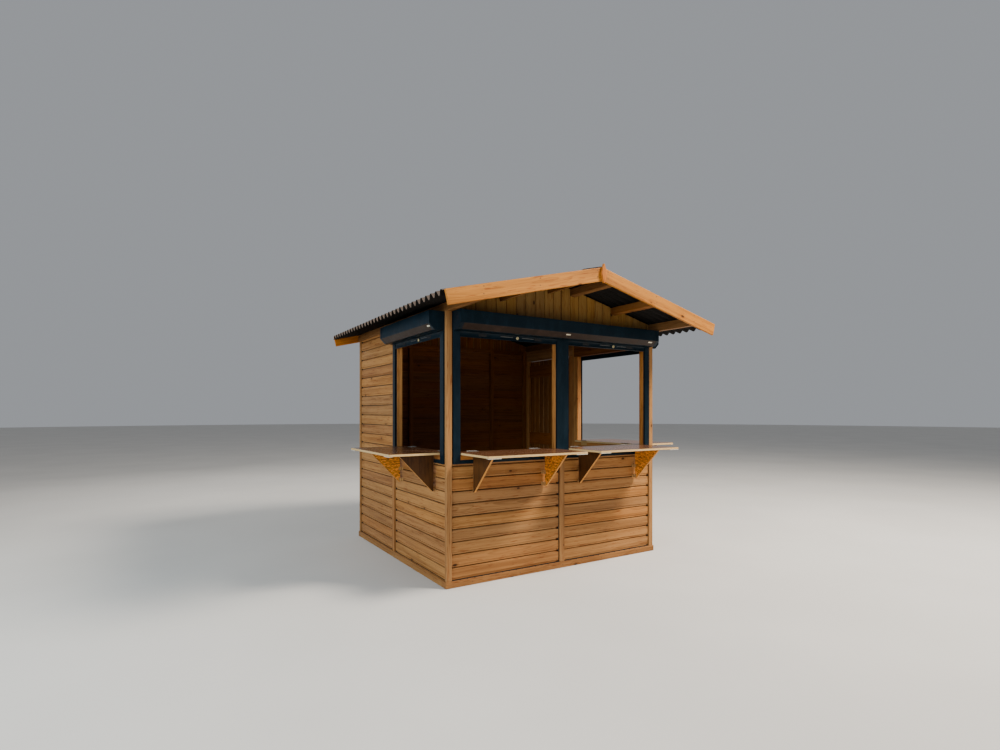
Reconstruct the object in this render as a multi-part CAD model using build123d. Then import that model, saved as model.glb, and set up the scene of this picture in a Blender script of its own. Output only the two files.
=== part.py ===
from build123d import *
import os
from math import cos, radians, sin, tan

# Timber market stall: a cabin with serving hatches on three sides.
# Frame: X to the right along the front, Y to the back, Z up, millimetres.
# The origin is on the ground, under the middle of the overall box.
# Walls are described in (u, v, z): u runs along the wall from its front or
# left corner, v runs inwards from the wall's outer face.

# Cabin
cabin_width = 2200.0
cabin_depth = 2100.0
wall_top = 2090.0
base_rail_height = 50.0
base_rail_ledge = 7.0
base_rail_joint = 0.5

# Walls
trim_width = 47.0
side_trim_width = 32.0
trim_proud = 12.0
board_thickness = 18.0
stud_depth = 34.0
stud_width = 45.0
centre_post_width = 48.0
side_hatch_bay = 1100.0
frame_joint = 0.5

# Hatches
guide_offset = 55.0
side_guide_offset = 40.0
guide_width = 59.0
guide_proud = 8.0
guide_to_bay_end = 4.0
sill_trim_drop = 86.0
sill_trim_height = 30.0
sill_trim_proud = 3.0

# Roller shutters
box_height = 143.0
box_proud = 125.0
box_chamfer = 44.0
box_past_guide = 3.0
end_slat_height = 45.0
end_slat_thickness = 12.0
end_slat_proud = 6.0
end_slat_clearance = 1.0
lock_radius = 13.0
lock_length = 6.0

# Shelves
shelf_top = 1018.0
shelf_thickness = 18.0
shelf_reach = 410.0
shelf_inner_reach = 106.0
shelf_end_clearance = 6.0
shelf_seat_gap = 0.3
shelf_knuckle_radius = 3.5
shelf_pivot_offset = 5.0
shelf_leaf_thickness = 2.0
shelf_leaf_length = 90.0
shelf_leaf_inset = 110.0
shelf_leaf_reach = 40.0
shelf_leaf_drop = 50.0
catch_length = 110.0
catch_width = 26.0
catch_thickness = 4.0

# Shelf brackets
bracket_reach = 280.0
bracket_height = 290.0
bracket_thickness = 18.0
bracket_inset = 110.0
bracket_wall_gap = 8.0
bracket_tip = 12.0
bracket_pivot = 6.0
bracket_knuckle_radius = 4.0
bracket_leaf_length = 30.0
bracket_leaf_reach = 16.0
bracket_leaf_thickness = 2.2
bracket_leaf_gap = 0.3
bracket_leaf_drops = (173.0, 269.0)

# Door in the right wall
door_jamb_width = 45.0
door_stop = 12.0
door_gap = 3.0
door_head_height = 126.0
door_leaf_thickness = 40.0
handle_height = 1050.0
handle_radius = 9.0
handle_rose_radius = 24.0
handle_rose_thickness = 8.0
handle_length = 110.0
handle_standoff = 45.0
handle_inset = 60.0

# Roof
roof_pitch = 13.6
eaves_purlin_height = 64.0
bargeboard_height = 108.0
bargeboard_thickness = 20.0
bargeboard_joint = 2.0
sheet_above_bargeboard = 6.5
front_overhang = 505.0
rear_overhang = 70.0
eaves_overhang = 258.0
sheet_past_bargeboard = 5.0
sheet_thickness = 3.0
sheet_end_gap = 0.5
sheet_ridge_setback = 14.0
wave_height = 40.0
wave_pitch_aim = 80.0
wave_flank_angle = 60.0
purlin_width = 45.0
purlin_depth = 57.0
mid_purlin_offset = 600.0
ridge_purlin_offset = 100.0
ridge_cap_reach = 170.0
ridge_cap_thickness = 3.0
gable_joint = 3.0
finial_width = 58.0
finial_tip_width = 10.0
finial_height = 150.0
finial_above = 24.0
finial_widest_drop = 75.0
finial_thickness = 18.0

# Worked out from the sizes above
stud_face = trim_proud + board_thickness
wall_depth = stud_face + stud_depth
front_reach = front_overhang + finial_thickness
rear_reach = rear_overhang + finial_thickness
y_front = (front_reach - rear_reach - cabin_depth) / 2
y_rear = y_front + cabin_depth
half_width = cabin_width / 2
clear_start = guide_offset + guide_width
side_clear_start = side_guide_offset + guide_width
side_clear_end = side_hatch_bay - guide_to_bay_end - guide_width
front_clear_end = half_width - guide_to_bay_end - guide_width
box_bottom = wall_top - box_height
sill_trim_bottom = shelf_top - sill_trim_drop
sill_trim_top = sill_trim_bottom + sill_trim_height
shelf_bottom = shelf_top - shelf_thickness
sill_top = shelf_bottom - shelf_seat_gap
door_head_bottom = wall_top - door_head_height
slope = tan(radians(roof_pitch))
pitch_cos = cos(radians(roof_pitch))
pitch_sin = sin(radians(roof_pitch))
rafter_line_at_ridge = wall_top + eaves_purlin_height + half_width * slope
sheet_top_at_ridge = rafter_line_at_ridge + wave_height / pitch_cos
bargeboard_apex = sheet_top_at_ridge - sheet_above_bargeboard
roof_front = y_front - front_overhang + bargeboard_thickness
roof_rear = y_rear + rear_overhang - bargeboard_thickness

# Each wall: the corner that u and v start from, then their directions
WALLS = {
    "front": ((-half_width, y_front), (1, 0), (0, 1)),
    "left": ((-half_width, y_front), (0, 1), (1, 0)),
    "right": ((half_width, y_front), (0, 1), (-1, 0)),
    "rear": ((-half_width, y_rear), (1, 0), (0, -1)),
}
# Each wall's two ends, as named from the front left corner
ENDS = {
    "front": ("left", "right"),
    "left": ("front", "rear"),
    "right": ("front", "rear"),
}
# Each hatch: its wall and the ends of its clear width
HATCHES = {
    "front_left": ("front", clear_start, front_clear_end),
    "front_right": ("front", cabin_width - front_clear_end, cabin_width - clear_start),
    "left": ("left", side_clear_start, side_clear_end),
    "right": ("right", side_clear_start, side_clear_end),
}
nodes = {}


def point(wall, u, v, z):
    corner, along, inwards = WALLS[wall]
    x = corner[0] + u * along[0] + v * inwards[0]
    y = corner[1] + u * along[1] + v * inwards[1]
    return Vector(x, y, z)


def block(wall, u, v, z):
    """A box between two values of u, of v and of z."""
    low = point(wall, u[0], v[0], z[0])
    high = point(wall, u[1], v[1], z[1])
    middle = (low + high) * 0.5
    size = high - low
    return Pos(middle.X, middle.Y, middle.Z) * Box(abs(size.X), abs(size.Y), abs(size.Z))


def extrude_outline(corners, direction):
    """A straight solid from a flat outline and the vector that it is drawn along."""
    face = Face(Wire.make_polygon(corners, close=True))
    if face.normal_at().dot(direction) < 0:
        face = -face
    return extrude(face, amount=direction.length, dir=direction.normalized())


def profile_along_wall(wall, outline, u):
    """A (v, z) outline drawn along u."""
    corners = [point(wall, u[0], v, z) for v, z in outline]
    return extrude_outline(corners, point(wall, u[1], 0, 0) - point(wall, u[0], 0, 0))


def plan_outline(wall, outline, z):
    """A (u, v) outline drawn upwards."""
    corners = [point(wall, u, v, z[0]) for u, v in outline]
    return extrude_outline(corners, Vector(0, 0, z[1] - z[0]))


def gable_outline(outline, y):
    """An (x, z) outline drawn along Y."""
    corners = [Vector(x, y[0], z) for x, z in outline]
    return extrude_outline(corners, Vector(0, y[1] - y[0], 0))


def rod(wall, start, end, radius):
    """A round bar between two (u, v, z) points."""
    begin = point(wall, *start)
    run = point(wall, *end) - begin
    plane = Plane(origin=begin, z_dir=run.normalized())
    return extrude(plane * Circle(radius), amount=run.length)


def add(name, *solids):
    nodes[name] = list(solids)


def base_rails():
    ledge = base_rail_ledge
    tall = (0, base_rail_height)
    long_run = (-ledge, cabin_width + ledge)
    side_start = wall_depth + base_rail_joint
    side_run = (side_start, cabin_depth - side_start)
    section = (-ledge, wall_depth)
    add(
        "base_rails",
        block("front", long_run, section, tall),
        block("rear", long_run, section, tall),
        block("left", side_run, section, tall),
        block("right", side_run, section, tall),
    )


def corner_post(wall, u_sign, u_corner):
    """A square post, rebated on both outer faces for the boards."""
    def along(distance):
        return u_corner + u_sign * distance
    outline = [
        (along(0), 0),
        (along(trim_width), 0),
        (along(trim_width), stud_face),
        (along(wall_depth), stud_face),
        (along(wall_depth), wall_depth),
        (along(stud_face), wall_depth),
        (along(stud_face), side_trim_width),
        (along(0), side_trim_width),
    ]
    return plan_outline(wall, outline, (base_rail_height, wall_top))


def corner_posts():
    posts = []
    for wall in ("front", "rear"):
        posts.append(corner_post(wall, 1, 0))
        posts.append(corner_post(wall, -1, cabin_width))
    add("corner_posts", *posts)


def wall_bays():
    """Each boarded bay: node, wall, ends of its boards and of its frame along u, height."""
    low = (base_rail_height, sill_trim_bottom)
    full = (base_rail_height, wall_top)
    post_half = centre_post_width / 2
    middle_in = half_width - post_half
    middle_out = half_width + post_half
    side_in = side_hatch_bay - post_half
    side_out = side_hatch_bay + post_half
    far_trim = cabin_width - trim_width
    far_frame = cabin_width - wall_depth
    side_start = wall_depth + frame_joint
    near_trim = side_trim_width
    rear_trim = cabin_depth - side_trim_width
    rear_frame = cabin_depth - wall_depth - frame_joint
    return (
        ("front_boards_left", "front", (trim_width, middle_in), (wall_depth, middle_in), low),
        ("front_boards_right", "front", (middle_out, far_trim), (middle_out, far_frame), low),
        ("left_boards_front", "left", (near_trim, side_in), (side_start, side_in), low),
        ("left_boards_rear", "left", (side_out, rear_trim), (side_out, rear_frame), full),
        ("right_boards_front", "right", (near_trim, side_in), (side_start, side_in), low),
        ("rear_boards", "rear", (trim_width, middle_in), (wall_depth, middle_in), full),
        ("rear_boards", "rear", (middle_out, far_trim), (middle_out, far_frame), full),
    )


def walls():
    """The boards of each bay, and behind them the studs with the rails between them."""
    behind = (stud_face, wall_depth)
    boards = {}
    studs = []
    rails = []
    for name, wall, skin, frame, z in wall_bays():
        boards.setdefault(name, []).append(block(wall, skin, (trim_proud, stud_face), z))
        middle = (frame[0] + frame[1]) / 2
        starts = (frame[0], middle - stud_width / 2, frame[1] - stud_width)
        for start in starts:
            studs.append(block(wall, (start, start + stud_width), behind, z))
        for before, after in zip(starts, starts[1:]):
            for low in (z[0], z[1] - stud_width):
                between = (before + stud_width, after)
                rails.append(block(wall, between, behind, (low, low + stud_width)))
    for name, solids in boards.items():
        add(name, *solids)
    add("wall_studs", *studs)
    add("wall_rails", *rails)


def centre_posts():
    post_half = centre_post_width / 2
    full_depth = (0, wall_depth)
    low = (base_rail_height, sill_trim_bottom)
    front = (half_width - post_half, half_width + post_half)
    side = (side_hatch_bay - post_half, side_hatch_bay + post_half)
    upper = (side_hatch_bay, side_hatch_bay + post_half)
    high = (sill_trim_bottom, wall_top)
    posts = [
        block("front", front, full_depth, low),
        block("rear", front, full_depth, (base_rail_height, wall_top)),
    ]
    for wall in ("left", "right"):
        posts.append(block(wall, side, full_depth, low) + block(wall, upper, full_depth, high))
    add("centre_posts", *posts)


def hatch_framing():
    behind_guide = (trim_proud, wall_depth)
    stand = (sill_trim_bottom, box_bottom)
    beam = (box_bottom, wall_top)
    front_end = cabin_width - wall_depth
    posts = [
        block("front", (wall_depth, clear_start), behind_guide, stand),
        block("front", (front_clear_end, cabin_width - front_clear_end), behind_guide, stand),
        block("front", (cabin_width - clear_start, front_end), behind_guide, stand),
    ]
    headers = [block("front", (wall_depth, front_end), behind_guide, beam)]
    side_start = wall_depth + frame_joint
    for wall in ("left", "right"):
        posts.append(block(wall, (side_start, side_clear_start), behind_guide, stand))
        posts.append(block(wall, (side_clear_end, side_hatch_bay), behind_guide, stand))
        headers.append(block(wall, (side_start, side_hatch_bay), behind_guide, beam))
    add("jamb_posts", *posts)
    add("headers", *headers)


def sills():
    """The timber sill that carries a shelf, with the painted trim in its rebate."""
    outline = [
        (stud_face, sill_trim_bottom),
        (wall_depth, sill_trim_bottom),
        (wall_depth, sill_trim_top),
        (shelf_inner_reach, sill_trim_top),
        (shelf_inner_reach, sill_top),
        (0, sill_top),
        (0, sill_trim_top),
        (stud_face, sill_trim_top),
    ]
    trim = (-sill_trim_proud, stud_face)
    trim_z = (sill_trim_bottom, sill_trim_top)
    sill_solids = []
    trim_solids = []
    for wall, start, end in HATCHES.values():
        sill_solids.append(profile_along_wall(wall, outline, (start, end)))
        trim_solids.append(block(wall, (start, end), trim, trim_z))
    add("hatch_sills", *sill_solids)
    add("sill_trims", *trim_solids)


def guide_rails():
    section = (-guide_proud, trim_proud)
    tall = (sill_trim_bottom, box_bottom)
    middle = (front_clear_end, cabin_width - front_clear_end)
    rails = [
        block("front", (guide_offset, clear_start), section, tall),
        block("front", middle, section, tall),
        block("front", (cabin_width - clear_start, cabin_width - guide_offset), section, tall),
    ]
    for wall in ("left", "right"):
        rails.append(block(wall, (side_guide_offset, side_clear_start), section, tall))
        rails.append(block(wall, (side_clear_end, side_clear_end + guide_width), section, tall))
    add("guide_rails", *rails)


def shutter_boxes():
    outline = [
        (trim_proud, box_bottom),
        (box_chamfer - box_proud, box_bottom),
        (-box_proud, box_bottom + box_chamfer),
        (-box_proud, wall_top),
        (trim_proud, wall_top),
    ]
    front_start = guide_offset - box_past_guide
    side_start = side_guide_offset - box_past_guide
    side_end = side_clear_end + guide_width + box_past_guide
    runs = {
        "front": (front_start, cabin_width - front_start),
        "left": (side_start, side_end),
        "right": (side_start, side_end),
    }
    for wall, run in runs.items():
        add(wall + "_shutter_box", profile_along_wall(wall, outline, run))


def end_slats():
    """The raised shutters' bottom slats, each with its lock."""
    slats = []
    inner = end_slat_proud - end_slat_thickness
    low = box_bottom - end_slat_height
    for wall, start, end in HATCHES.values():
        run = (start + end_slat_clearance, end - end_slat_clearance)
        middle = (start + end) / 2
        lock_z = low + end_slat_height / 2
        slat = block(wall, run, (-end_slat_proud, -inner), (low, box_bottom))
        tip = -end_slat_proud - lock_length
        slat += rod(wall, (middle, -inner - 1, lock_z), (middle, tip, lock_z), lock_radius)
        slats.append(slat)
    add("shutter_end_slats", *slats)


def shelf(wall, start, end):
    """A board through the hatch, with hinge leaves at its inner edge and catches outside."""
    run = (start + shelf_end_clearance, end - shelf_end_clearance)
    board_v = (-shelf_reach, shelf_inner_reach - shelf_seat_gap)
    board = block(wall, run, board_v, (shelf_bottom, shelf_top))
    pivot_v = shelf_inner_reach + shelf_pivot_offset
    pivot_z = shelf_top + shelf_leaf_thickness
    leaf_v = (shelf_inner_reach - shelf_leaf_reach, pivot_v)
    catch_v = (-shelf_reach, catch_width - shelf_reach)
    catch_z = (shelf_bottom - catch_thickness, shelf_bottom)
    for sign, edge in ((1, run[0]), (-1, run[1])):
        leaf_start = edge + sign * shelf_leaf_inset
        leaf_end = leaf_start + sign * shelf_leaf_length
        board += block(wall, (leaf_start, leaf_end), leaf_v, (shelf_top, pivot_z))
        board += rod(
            wall, (leaf_start, pivot_v, pivot_z), (leaf_end, pivot_v, pivot_z), shelf_knuckle_radius
        )
        board += block(wall, (edge, edge + sign * catch_length), catch_v, catch_z)
    return board


def shelf_wall_leaves(wall, start, end):
    """The fixed hinge leaves, on the inner face of the sill, up to the knuckles."""
    leaves = []
    leaf_v = (shelf_inner_reach, shelf_inner_reach + shelf_leaf_thickness)
    knuckle_bottom = shelf_top + shelf_leaf_thickness - shelf_knuckle_radius
    leaf_z = (knuckle_bottom - shelf_leaf_drop, knuckle_bottom - shelf_seat_gap)
    for sign, edge in ((1, start + shelf_end_clearance), (-1, end - shelf_end_clearance)):
        leaf_start = edge + sign * shelf_leaf_inset
        leaf_u = (leaf_start, leaf_start + sign * shelf_leaf_length)
        leaves.append(block(wall, leaf_u, leaf_v, leaf_z))
    return leaves


def bracket(wall, outer_face, sign):
    """A triangular plate on a vertical hinge, folding towards the side that sign points to."""
    top = shelf_bottom - shelf_seat_gap
    foot = top - bracket_height
    near = -bracket_wall_gap
    far = near - bracket_reach
    outline = [
        (near, top),
        (near, foot),
        (near - bracket_tip, foot),
        (far, top - bracket_tip),
        (far, top),
    ]
    inner_face = outer_face + sign * bracket_thickness
    plate = profile_along_wall(wall, outline, (outer_face, inner_face))
    pivot_u = inner_face + sign * bracket_pivot
    leaf_u = (inner_face, inner_face + sign * bracket_leaf_thickness)
    for drop in bracket_leaf_drops:
        leaf_z = (top - drop - bracket_leaf_length / 2, top - drop + bracket_leaf_length / 2)
        plate += rod(
            wall,
            (pivot_u, -bracket_pivot, leaf_z[0]),
            (pivot_u, -bracket_pivot, leaf_z[1]),
            bracket_knuckle_radius,
        )
        plate += block(wall, leaf_u, (-bracket_pivot - bracket_leaf_reach, -bracket_pivot), leaf_z)
    return plate


def bracket_wall_leaves(wall, outer_face, sign):
    """The fixed hinge leaves, on the boards, each with a web out to its knuckle."""
    top = shelf_bottom - shelf_seat_gap
    pivot_u = outer_face + sign * (bracket_thickness + bracket_pivot)
    leaf_u = (pivot_u - bracket_leaf_reach, pivot_u + bracket_leaf_reach)
    leaf_v = (trim_proud - bracket_leaf_thickness, trim_proud)
    web_u = (pivot_u, pivot_u + sign * bracket_leaf_thickness)
    web_v = (bracket_knuckle_radius + bracket_leaf_gap - bracket_pivot, trim_proud)
    leaves = []
    for drop in bracket_leaf_drops:
        leaf_z = (top - drop - bracket_leaf_length / 2, top - drop + bracket_leaf_length / 2)
        leaves.append(block(wall, leaf_u, leaf_v, leaf_z) + block(wall, web_u, web_v, leaf_z))
    return leaves


def shelves_and_brackets():
    leaves = []
    for name, (wall, start, end) in HATCHES.items():
        add(name + "_shelf", shelf(wall, start, end))
        leaves += shelf_wall_leaves(wall, start, end)
        for side, edge, sign in zip(ENDS[wall], (start, end), (1, -1)):
            outer_face = edge + sign * bracket_inset
            add(name + "_bracket_" + side, bracket(wall, outer_face, sign))
            leaves += bracket_wall_leaves(wall, outer_face, sign)
    add("hinge_leaves", *leaves)


def side_door():
    """The door in the rear bay of the right wall, closed against its stops."""
    wall = "right"
    near = side_hatch_bay + centre_post_width / 2
    far_face = cabin_depth - side_trim_width
    far = cabin_depth - wall_depth
    leaf_back = trim_proud + door_leaf_thickness
    stand = (base_rail_height, door_head_bottom)
    near_jamb = [
        (near, trim_proud),
        (near + door_jamb_width, trim_proud),
        (near + door_jamb_width, leaf_back),
        (near + door_jamb_width + door_stop, leaf_back),
        (near + door_jamb_width + door_stop, wall_depth),
        (near, wall_depth),
    ]
    far_jamb = [
        (far_face, trim_proud),
        (far_face, stud_face),
        (far, stud_face),
        (far, wall_depth),
        (far - door_jamb_width - door_stop, wall_depth),
        (far - door_jamb_width - door_stop, leaf_back),
        (far - door_jamb_width, leaf_back),
        (far - door_jamb_width, trim_proud),
    ]
    add("door_jambs", plan_outline(wall, near_jamb, stand), plan_outline(wall, far_jamb, stand))
    head_z = (door_head_bottom, wall_top)
    head = block(wall, (near, far_face), (trim_proud, stud_face), head_z)
    head += block(wall, (near, far), (stud_face, wall_depth), head_z)
    add("door_head", head)
    leaf_u = (near + door_jamb_width + door_gap, far - door_jamb_width - door_gap)
    leaf_z = (base_rail_height + door_gap, door_head_bottom - door_gap)
    add("side_door", block(wall, leaf_u, (trim_proud, leaf_back), leaf_z))
    grip_u = leaf_u[0] + handle_inset
    grip_v = trim_proud - handle_standoff
    rose_v = trim_proud - handle_rose_thickness
    neck = (grip_u, grip_v, handle_height)
    handle = rod(wall, (grip_u, trim_proud, handle_height), neck, handle_radius)
    handle += rod(
        wall, (grip_u, trim_proud, handle_height), (grip_u, rose_v, handle_height), handle_rose_radius
    )
    handle += rod(
        wall, (grip_u - handle_radius, grip_v, handle_height),
        (grip_u + handle_length, grip_v, handle_height), handle_radius
    )
    add("door_handle", handle)


def rafter_line(x):
    return rafter_line_at_ridge - abs(x) * slope


def purlin_outlines(side):
    """The eaves, middle and ridge purlins of one half of the roof, as (x, z) outlines."""
    eaves_inner = side * (half_width - purlin_width)
    eaves_outer = side * half_width
    eaves = [
        (eaves_inner, wall_top),
        (eaves_outer, wall_top),
        (eaves_outer, rafter_line(eaves_outer)),
        (eaves_inner, rafter_line(eaves_inner)),
    ]
    outlines = [eaves]
    drop = purlin_depth / pitch_cos
    middle_inner = mid_purlin_offset - purlin_width / 2
    for inner in (middle_inner, ridge_purlin_offset):
        near = side * inner
        far = side * (inner + purlin_width)
        outlines.append([
            (near, rafter_line(near) - drop),
            (far, rafter_line(far) - drop),
            (far, rafter_line(far)),
            (near, rafter_line(near)),
        ])
    return outlines


def purlins():
    run = (roof_front, roof_rear)
    outlines = purlin_outlines(-1) + purlin_outlines(1)
    add("purlins", *[gable_outline(outline, run) for outline in outlines])


def gable_half(side, y):
    """One half of a gable: upright boards under the roof, cut around the purlins."""
    inner = side * gable_joint / 2
    outer = side * (half_width - purlin_width)
    outline = [
        (inner, wall_top),
        (outer, wall_top),
        (outer, rafter_line(outer)),
        (inner, rafter_line(inner)),
    ]
    half = gable_outline(outline, y)
    for notch in purlin_outlines(side)[1:]:
        half -= gable_outline(notch, y)
    return half


def gables():
    faces = {
        "front": (y_front + trim_proud, y_front + stud_face),
        "rear": (y_rear - stud_face, y_rear - trim_proud),
    }
    for name, y in faces.items():
        add(name + "_gable", gable_half(-1, y), gable_half(1, y))


def bargeboard(side, y):
    """One sloping board, plumb at the ridge and cut square at the eaves."""
    inner = side * bargeboard_joint / 2
    outer = side * (half_width + eaves_overhang)
    square_cut = side * bargeboard_height * pitch_cos * pitch_sin

    def top_edge(x):
        return bargeboard_apex - abs(x) * slope

    outline = [
        (inner, top_edge(inner)),
        (outer, top_edge(outer)),
        (outer - square_cut, top_edge(outer - square_cut) - bargeboard_height),
        (inner, top_edge(inner) - bargeboard_height),
    ]
    return gable_outline(outline, y)


def finial(y):
    """An upright lozenge with blunt tips, over the joint of two bargeboards."""
    top = bargeboard_apex + finial_above
    foot = top - finial_height
    widest = top - finial_widest_drop
    half_tip = finial_tip_width / 2
    outline = [
        (-half_tip, foot),
        (half_tip, foot),
        (finial_width / 2, widest),
        (half_tip, top),
        (-half_tip, top),
        (-finial_width / 2, widest),
    ]
    return gable_outline(outline, y)


def bargeboards():
    front = (roof_front - bargeboard_thickness, roof_front)
    rear = (roof_rear, roof_rear + bargeboard_thickness)
    add("bargeboards", *[bargeboard(side, y) for y in (front, rear) for side in (-1, 1)])
    add(
        "finials",
        finial((front[0] - finial_thickness, front[0])),
        finial((rear[1], rear[1] + finial_thickness)),
    )


def corrugated_arcs(length):
    """Three points of each arc across the waves, on the sheet's upper and lower faces."""
    count = round(length / wave_pitch_aim)
    pitch = length / count
    angle = radians(wave_flank_angle)
    swing = wave_height - sheet_thickness
    radius = (pitch / 2 * sin(angle) - swing * cos(angle)) / (2 * (1 - cos(angle)))
    upper = []
    lower = []
    for index in range(2 * count):
        sign = 1 if index % 2 == 0 else -1
        centre_y = (index + 0.5) * pitch / 2
        centre_h = wave_height / 2 + sign * (swing / 2 - radius)
        for arcs, offset in ((upper, sheet_thickness / 2), (lower, -sheet_thickness / 2)):
            reach = radius + sign * offset
            arcs.append([
                (centre_y + reach * sin(turn), centre_h + sign * reach * cos(turn))
                for turn in (-angle, 0, angle)
            ])
    return upper, lower


def sheet_wire(side, length):
    """The corrugated section at the ridge end of one half of the roof."""
    upper, lower = corrugated_arcs(length)
    start_y = roof_front + sheet_end_gap
    ridge_x = side * sheet_ridge_setback * pitch_cos
    ridge_z = rafter_line_at_ridge - sheet_ridge_setback * pitch_sin

    def place(across, height):
        x = ridge_x + side * height * pitch_sin
        z = ridge_z + height * pitch_cos
        return Vector(x, start_y + across, z)

    edges = []
    for arcs in (upper, lower):
        for first, middle, last in arcs:
            edges.append(ThreePointArc(place(*first), place(*middle), place(*last)))
        for before, after in zip(arcs, arcs[1:]):
            edges.append(Line(place(*before[2]), place(*after[0])))
    edges.append(Line(place(*upper[0][0]), place(*lower[0][0])))
    edges.append(Line(place(*upper[-1][2]), place(*lower[-1][2])))
    return Wire(edges)


def roof_sheets():
    length = roof_rear - roof_front - 2 * sheet_end_gap
    run = (half_width + eaves_overhang + sheet_past_bargeboard) / pitch_cos - sheet_ridge_setback
    for name, side in (("left", -1), ("right", 1)):
        face = Face(sheet_wire(side, length))
        down = Vector(side * pitch_cos, 0, -pitch_sin)
        if face.normal_at().dot(down) < 0:
            face = -face
        add("roof_sheet_" + name, extrude(face, amount=run, dir=down))


def ridge_cap():
    thick = ridge_cap_thickness / pitch_cos
    edge_z = sheet_top_at_ridge - ridge_cap_reach * slope
    outline = [
        (-ridge_cap_reach, edge_z),
        (0, sheet_top_at_ridge),
        (ridge_cap_reach, edge_z),
        (ridge_cap_reach, edge_z + thick),
        (0, sheet_top_at_ridge + thick),
        (-ridge_cap_reach, edge_z + thick),
    ]
    add("ridge_cap", gable_outline(outline, (roof_front + sheet_end_gap, roof_rear - sheet_end_gap)))


base_rails()
corner_posts()
walls()
centre_posts()
hatch_framing()
sills()
guide_rails()
shutter_boxes()
end_slats()
shelves_and_brackets()
side_door()
purlins()
gables()
bargeboards()
roof_sheets()
ridge_cap()

os.makedirs("parts", exist_ok=True)
for name, shapes in nodes.items():
    solids = [solid for shape in shapes for solid in shape.solids()]
    export_step(Compound(solids), "parts/" + name + ".step")
print(len(nodes), "nodes, front of the cabin at Y", y_front)
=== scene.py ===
"""Looks of a timber market stall with serving hatches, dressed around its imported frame."""

import random
from math import ceil, cos, pi, radians, sin, tan

import bmesh
import bpy
import numpy as np
from bpy.props import FloatProperty, FloatVectorProperty, IntProperty, PointerProperty
from mathutils import Matrix, Vector


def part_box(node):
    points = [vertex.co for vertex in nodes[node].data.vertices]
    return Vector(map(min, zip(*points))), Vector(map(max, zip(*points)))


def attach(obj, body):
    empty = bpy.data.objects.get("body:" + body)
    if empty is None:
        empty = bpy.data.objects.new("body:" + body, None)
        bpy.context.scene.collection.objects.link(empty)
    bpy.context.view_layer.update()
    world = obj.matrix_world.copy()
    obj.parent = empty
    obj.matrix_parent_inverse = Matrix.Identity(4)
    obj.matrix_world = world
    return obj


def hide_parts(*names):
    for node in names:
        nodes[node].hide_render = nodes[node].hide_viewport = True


bl_info = {
    "name": "Timber market stall",
    "version": (1, 0, 0),
    "blender": (4, 5, 0),
    "location": "3D View > Sidebar > Stall",
    "description": "Dresses the frame of a timber market stall in boards, paint, hinges and roof sheets",
    "category": "Object",
}

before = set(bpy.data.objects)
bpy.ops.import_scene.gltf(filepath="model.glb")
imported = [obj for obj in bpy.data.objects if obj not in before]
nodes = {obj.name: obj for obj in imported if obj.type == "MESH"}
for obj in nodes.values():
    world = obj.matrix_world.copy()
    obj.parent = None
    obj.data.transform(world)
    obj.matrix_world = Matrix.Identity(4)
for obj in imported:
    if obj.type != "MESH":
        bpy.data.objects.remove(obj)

# What the frame says, in metres
CABIN = "cabin"
posts_low, posts_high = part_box("corner_posts")
boards_low, boards_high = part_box("front_boards_left")
purlins_low, purlins_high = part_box("purlins")
HALF_WIDTH = posts_high.x
WIDTH = 2 * HALF_WIDTH
Y_FRONT = posts_low.y
Y_REAR = posts_high.y
RAIL_TOP = posts_low.z
WALL_TOP = posts_high.z
BOARD_FACE = boards_low.y - Y_FRONT
BOARD_BACK = boards_high.y - Y_FRONT
ROOF_FRONT = purlins_low.y
ROOF_REAR = purlins_high.y

# Shelves: how far they lie over the sills, and beside the guide rails
SHELF_LIFT = 0.0003
SHELF_THICKNESS = 0.018
SHELF_SIDE_GAP = 0.006
SHELF_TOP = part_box("hatch_sills")[1].z + SHELF_LIFT + SHELF_THICKNESS
SHELF_BOTTOM = SHELF_TOP - SHELF_THICKNESS

# Roof: its pitch, the purlins' sizes and places along x, and the waves of its sheets
PITCH = radians(13.6)
SLOPE = tan(PITCH)
PURLIN_WIDTH = 0.045
PURLIN_DROP = 0.057 / cos(PITCH)
RIDGE_PURLIN = 0.100
MIDDLE_PURLIN = 0.5775
WAVE_HEIGHT = 0.040
WAVE_PITCH_AIM = 0.080
RIDGE_LINE = purlins_high.z + RIDGE_PURLIN * SLOPE

# Each wall: the corner that u and v start from, the way along it and the way in
WALLS = {
    "front": ((-HALF_WIDTH, Y_FRONT), (1, 0), (0, 1)),
    "left": ((-HALF_WIDTH, Y_FRONT), (0, 1), (1, 0)),
    "right": ((HALF_WIDTH, Y_FRONT), (0, 1), (-1, 0)),
    "rear": ((-HALF_WIDTH, Y_REAR), (1, 0), (0, -1)),
}
SHELF_WALLS = {"front_left": "front", "front_right": "front", "left": "left", "right": "right"}
BRACKETS = {"front": ("left", "right"), "left": ("front", "rear"), "right": ("front", "rear")}


def length_setting(name, description, default, low, high):
    """A length that a user can change, in metres."""
    return FloatProperty(
        name=name, description=description, default=default, min=low, max=high,
        subtype="DISTANCE", unit="LENGTH")


def colour_setting(name, description, default):
    """A colour that a user can change."""
    return FloatVectorProperty(
        name=name, description=description, default=default, min=0.0, max=1.0, size=3, subtype="COLOR")


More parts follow.
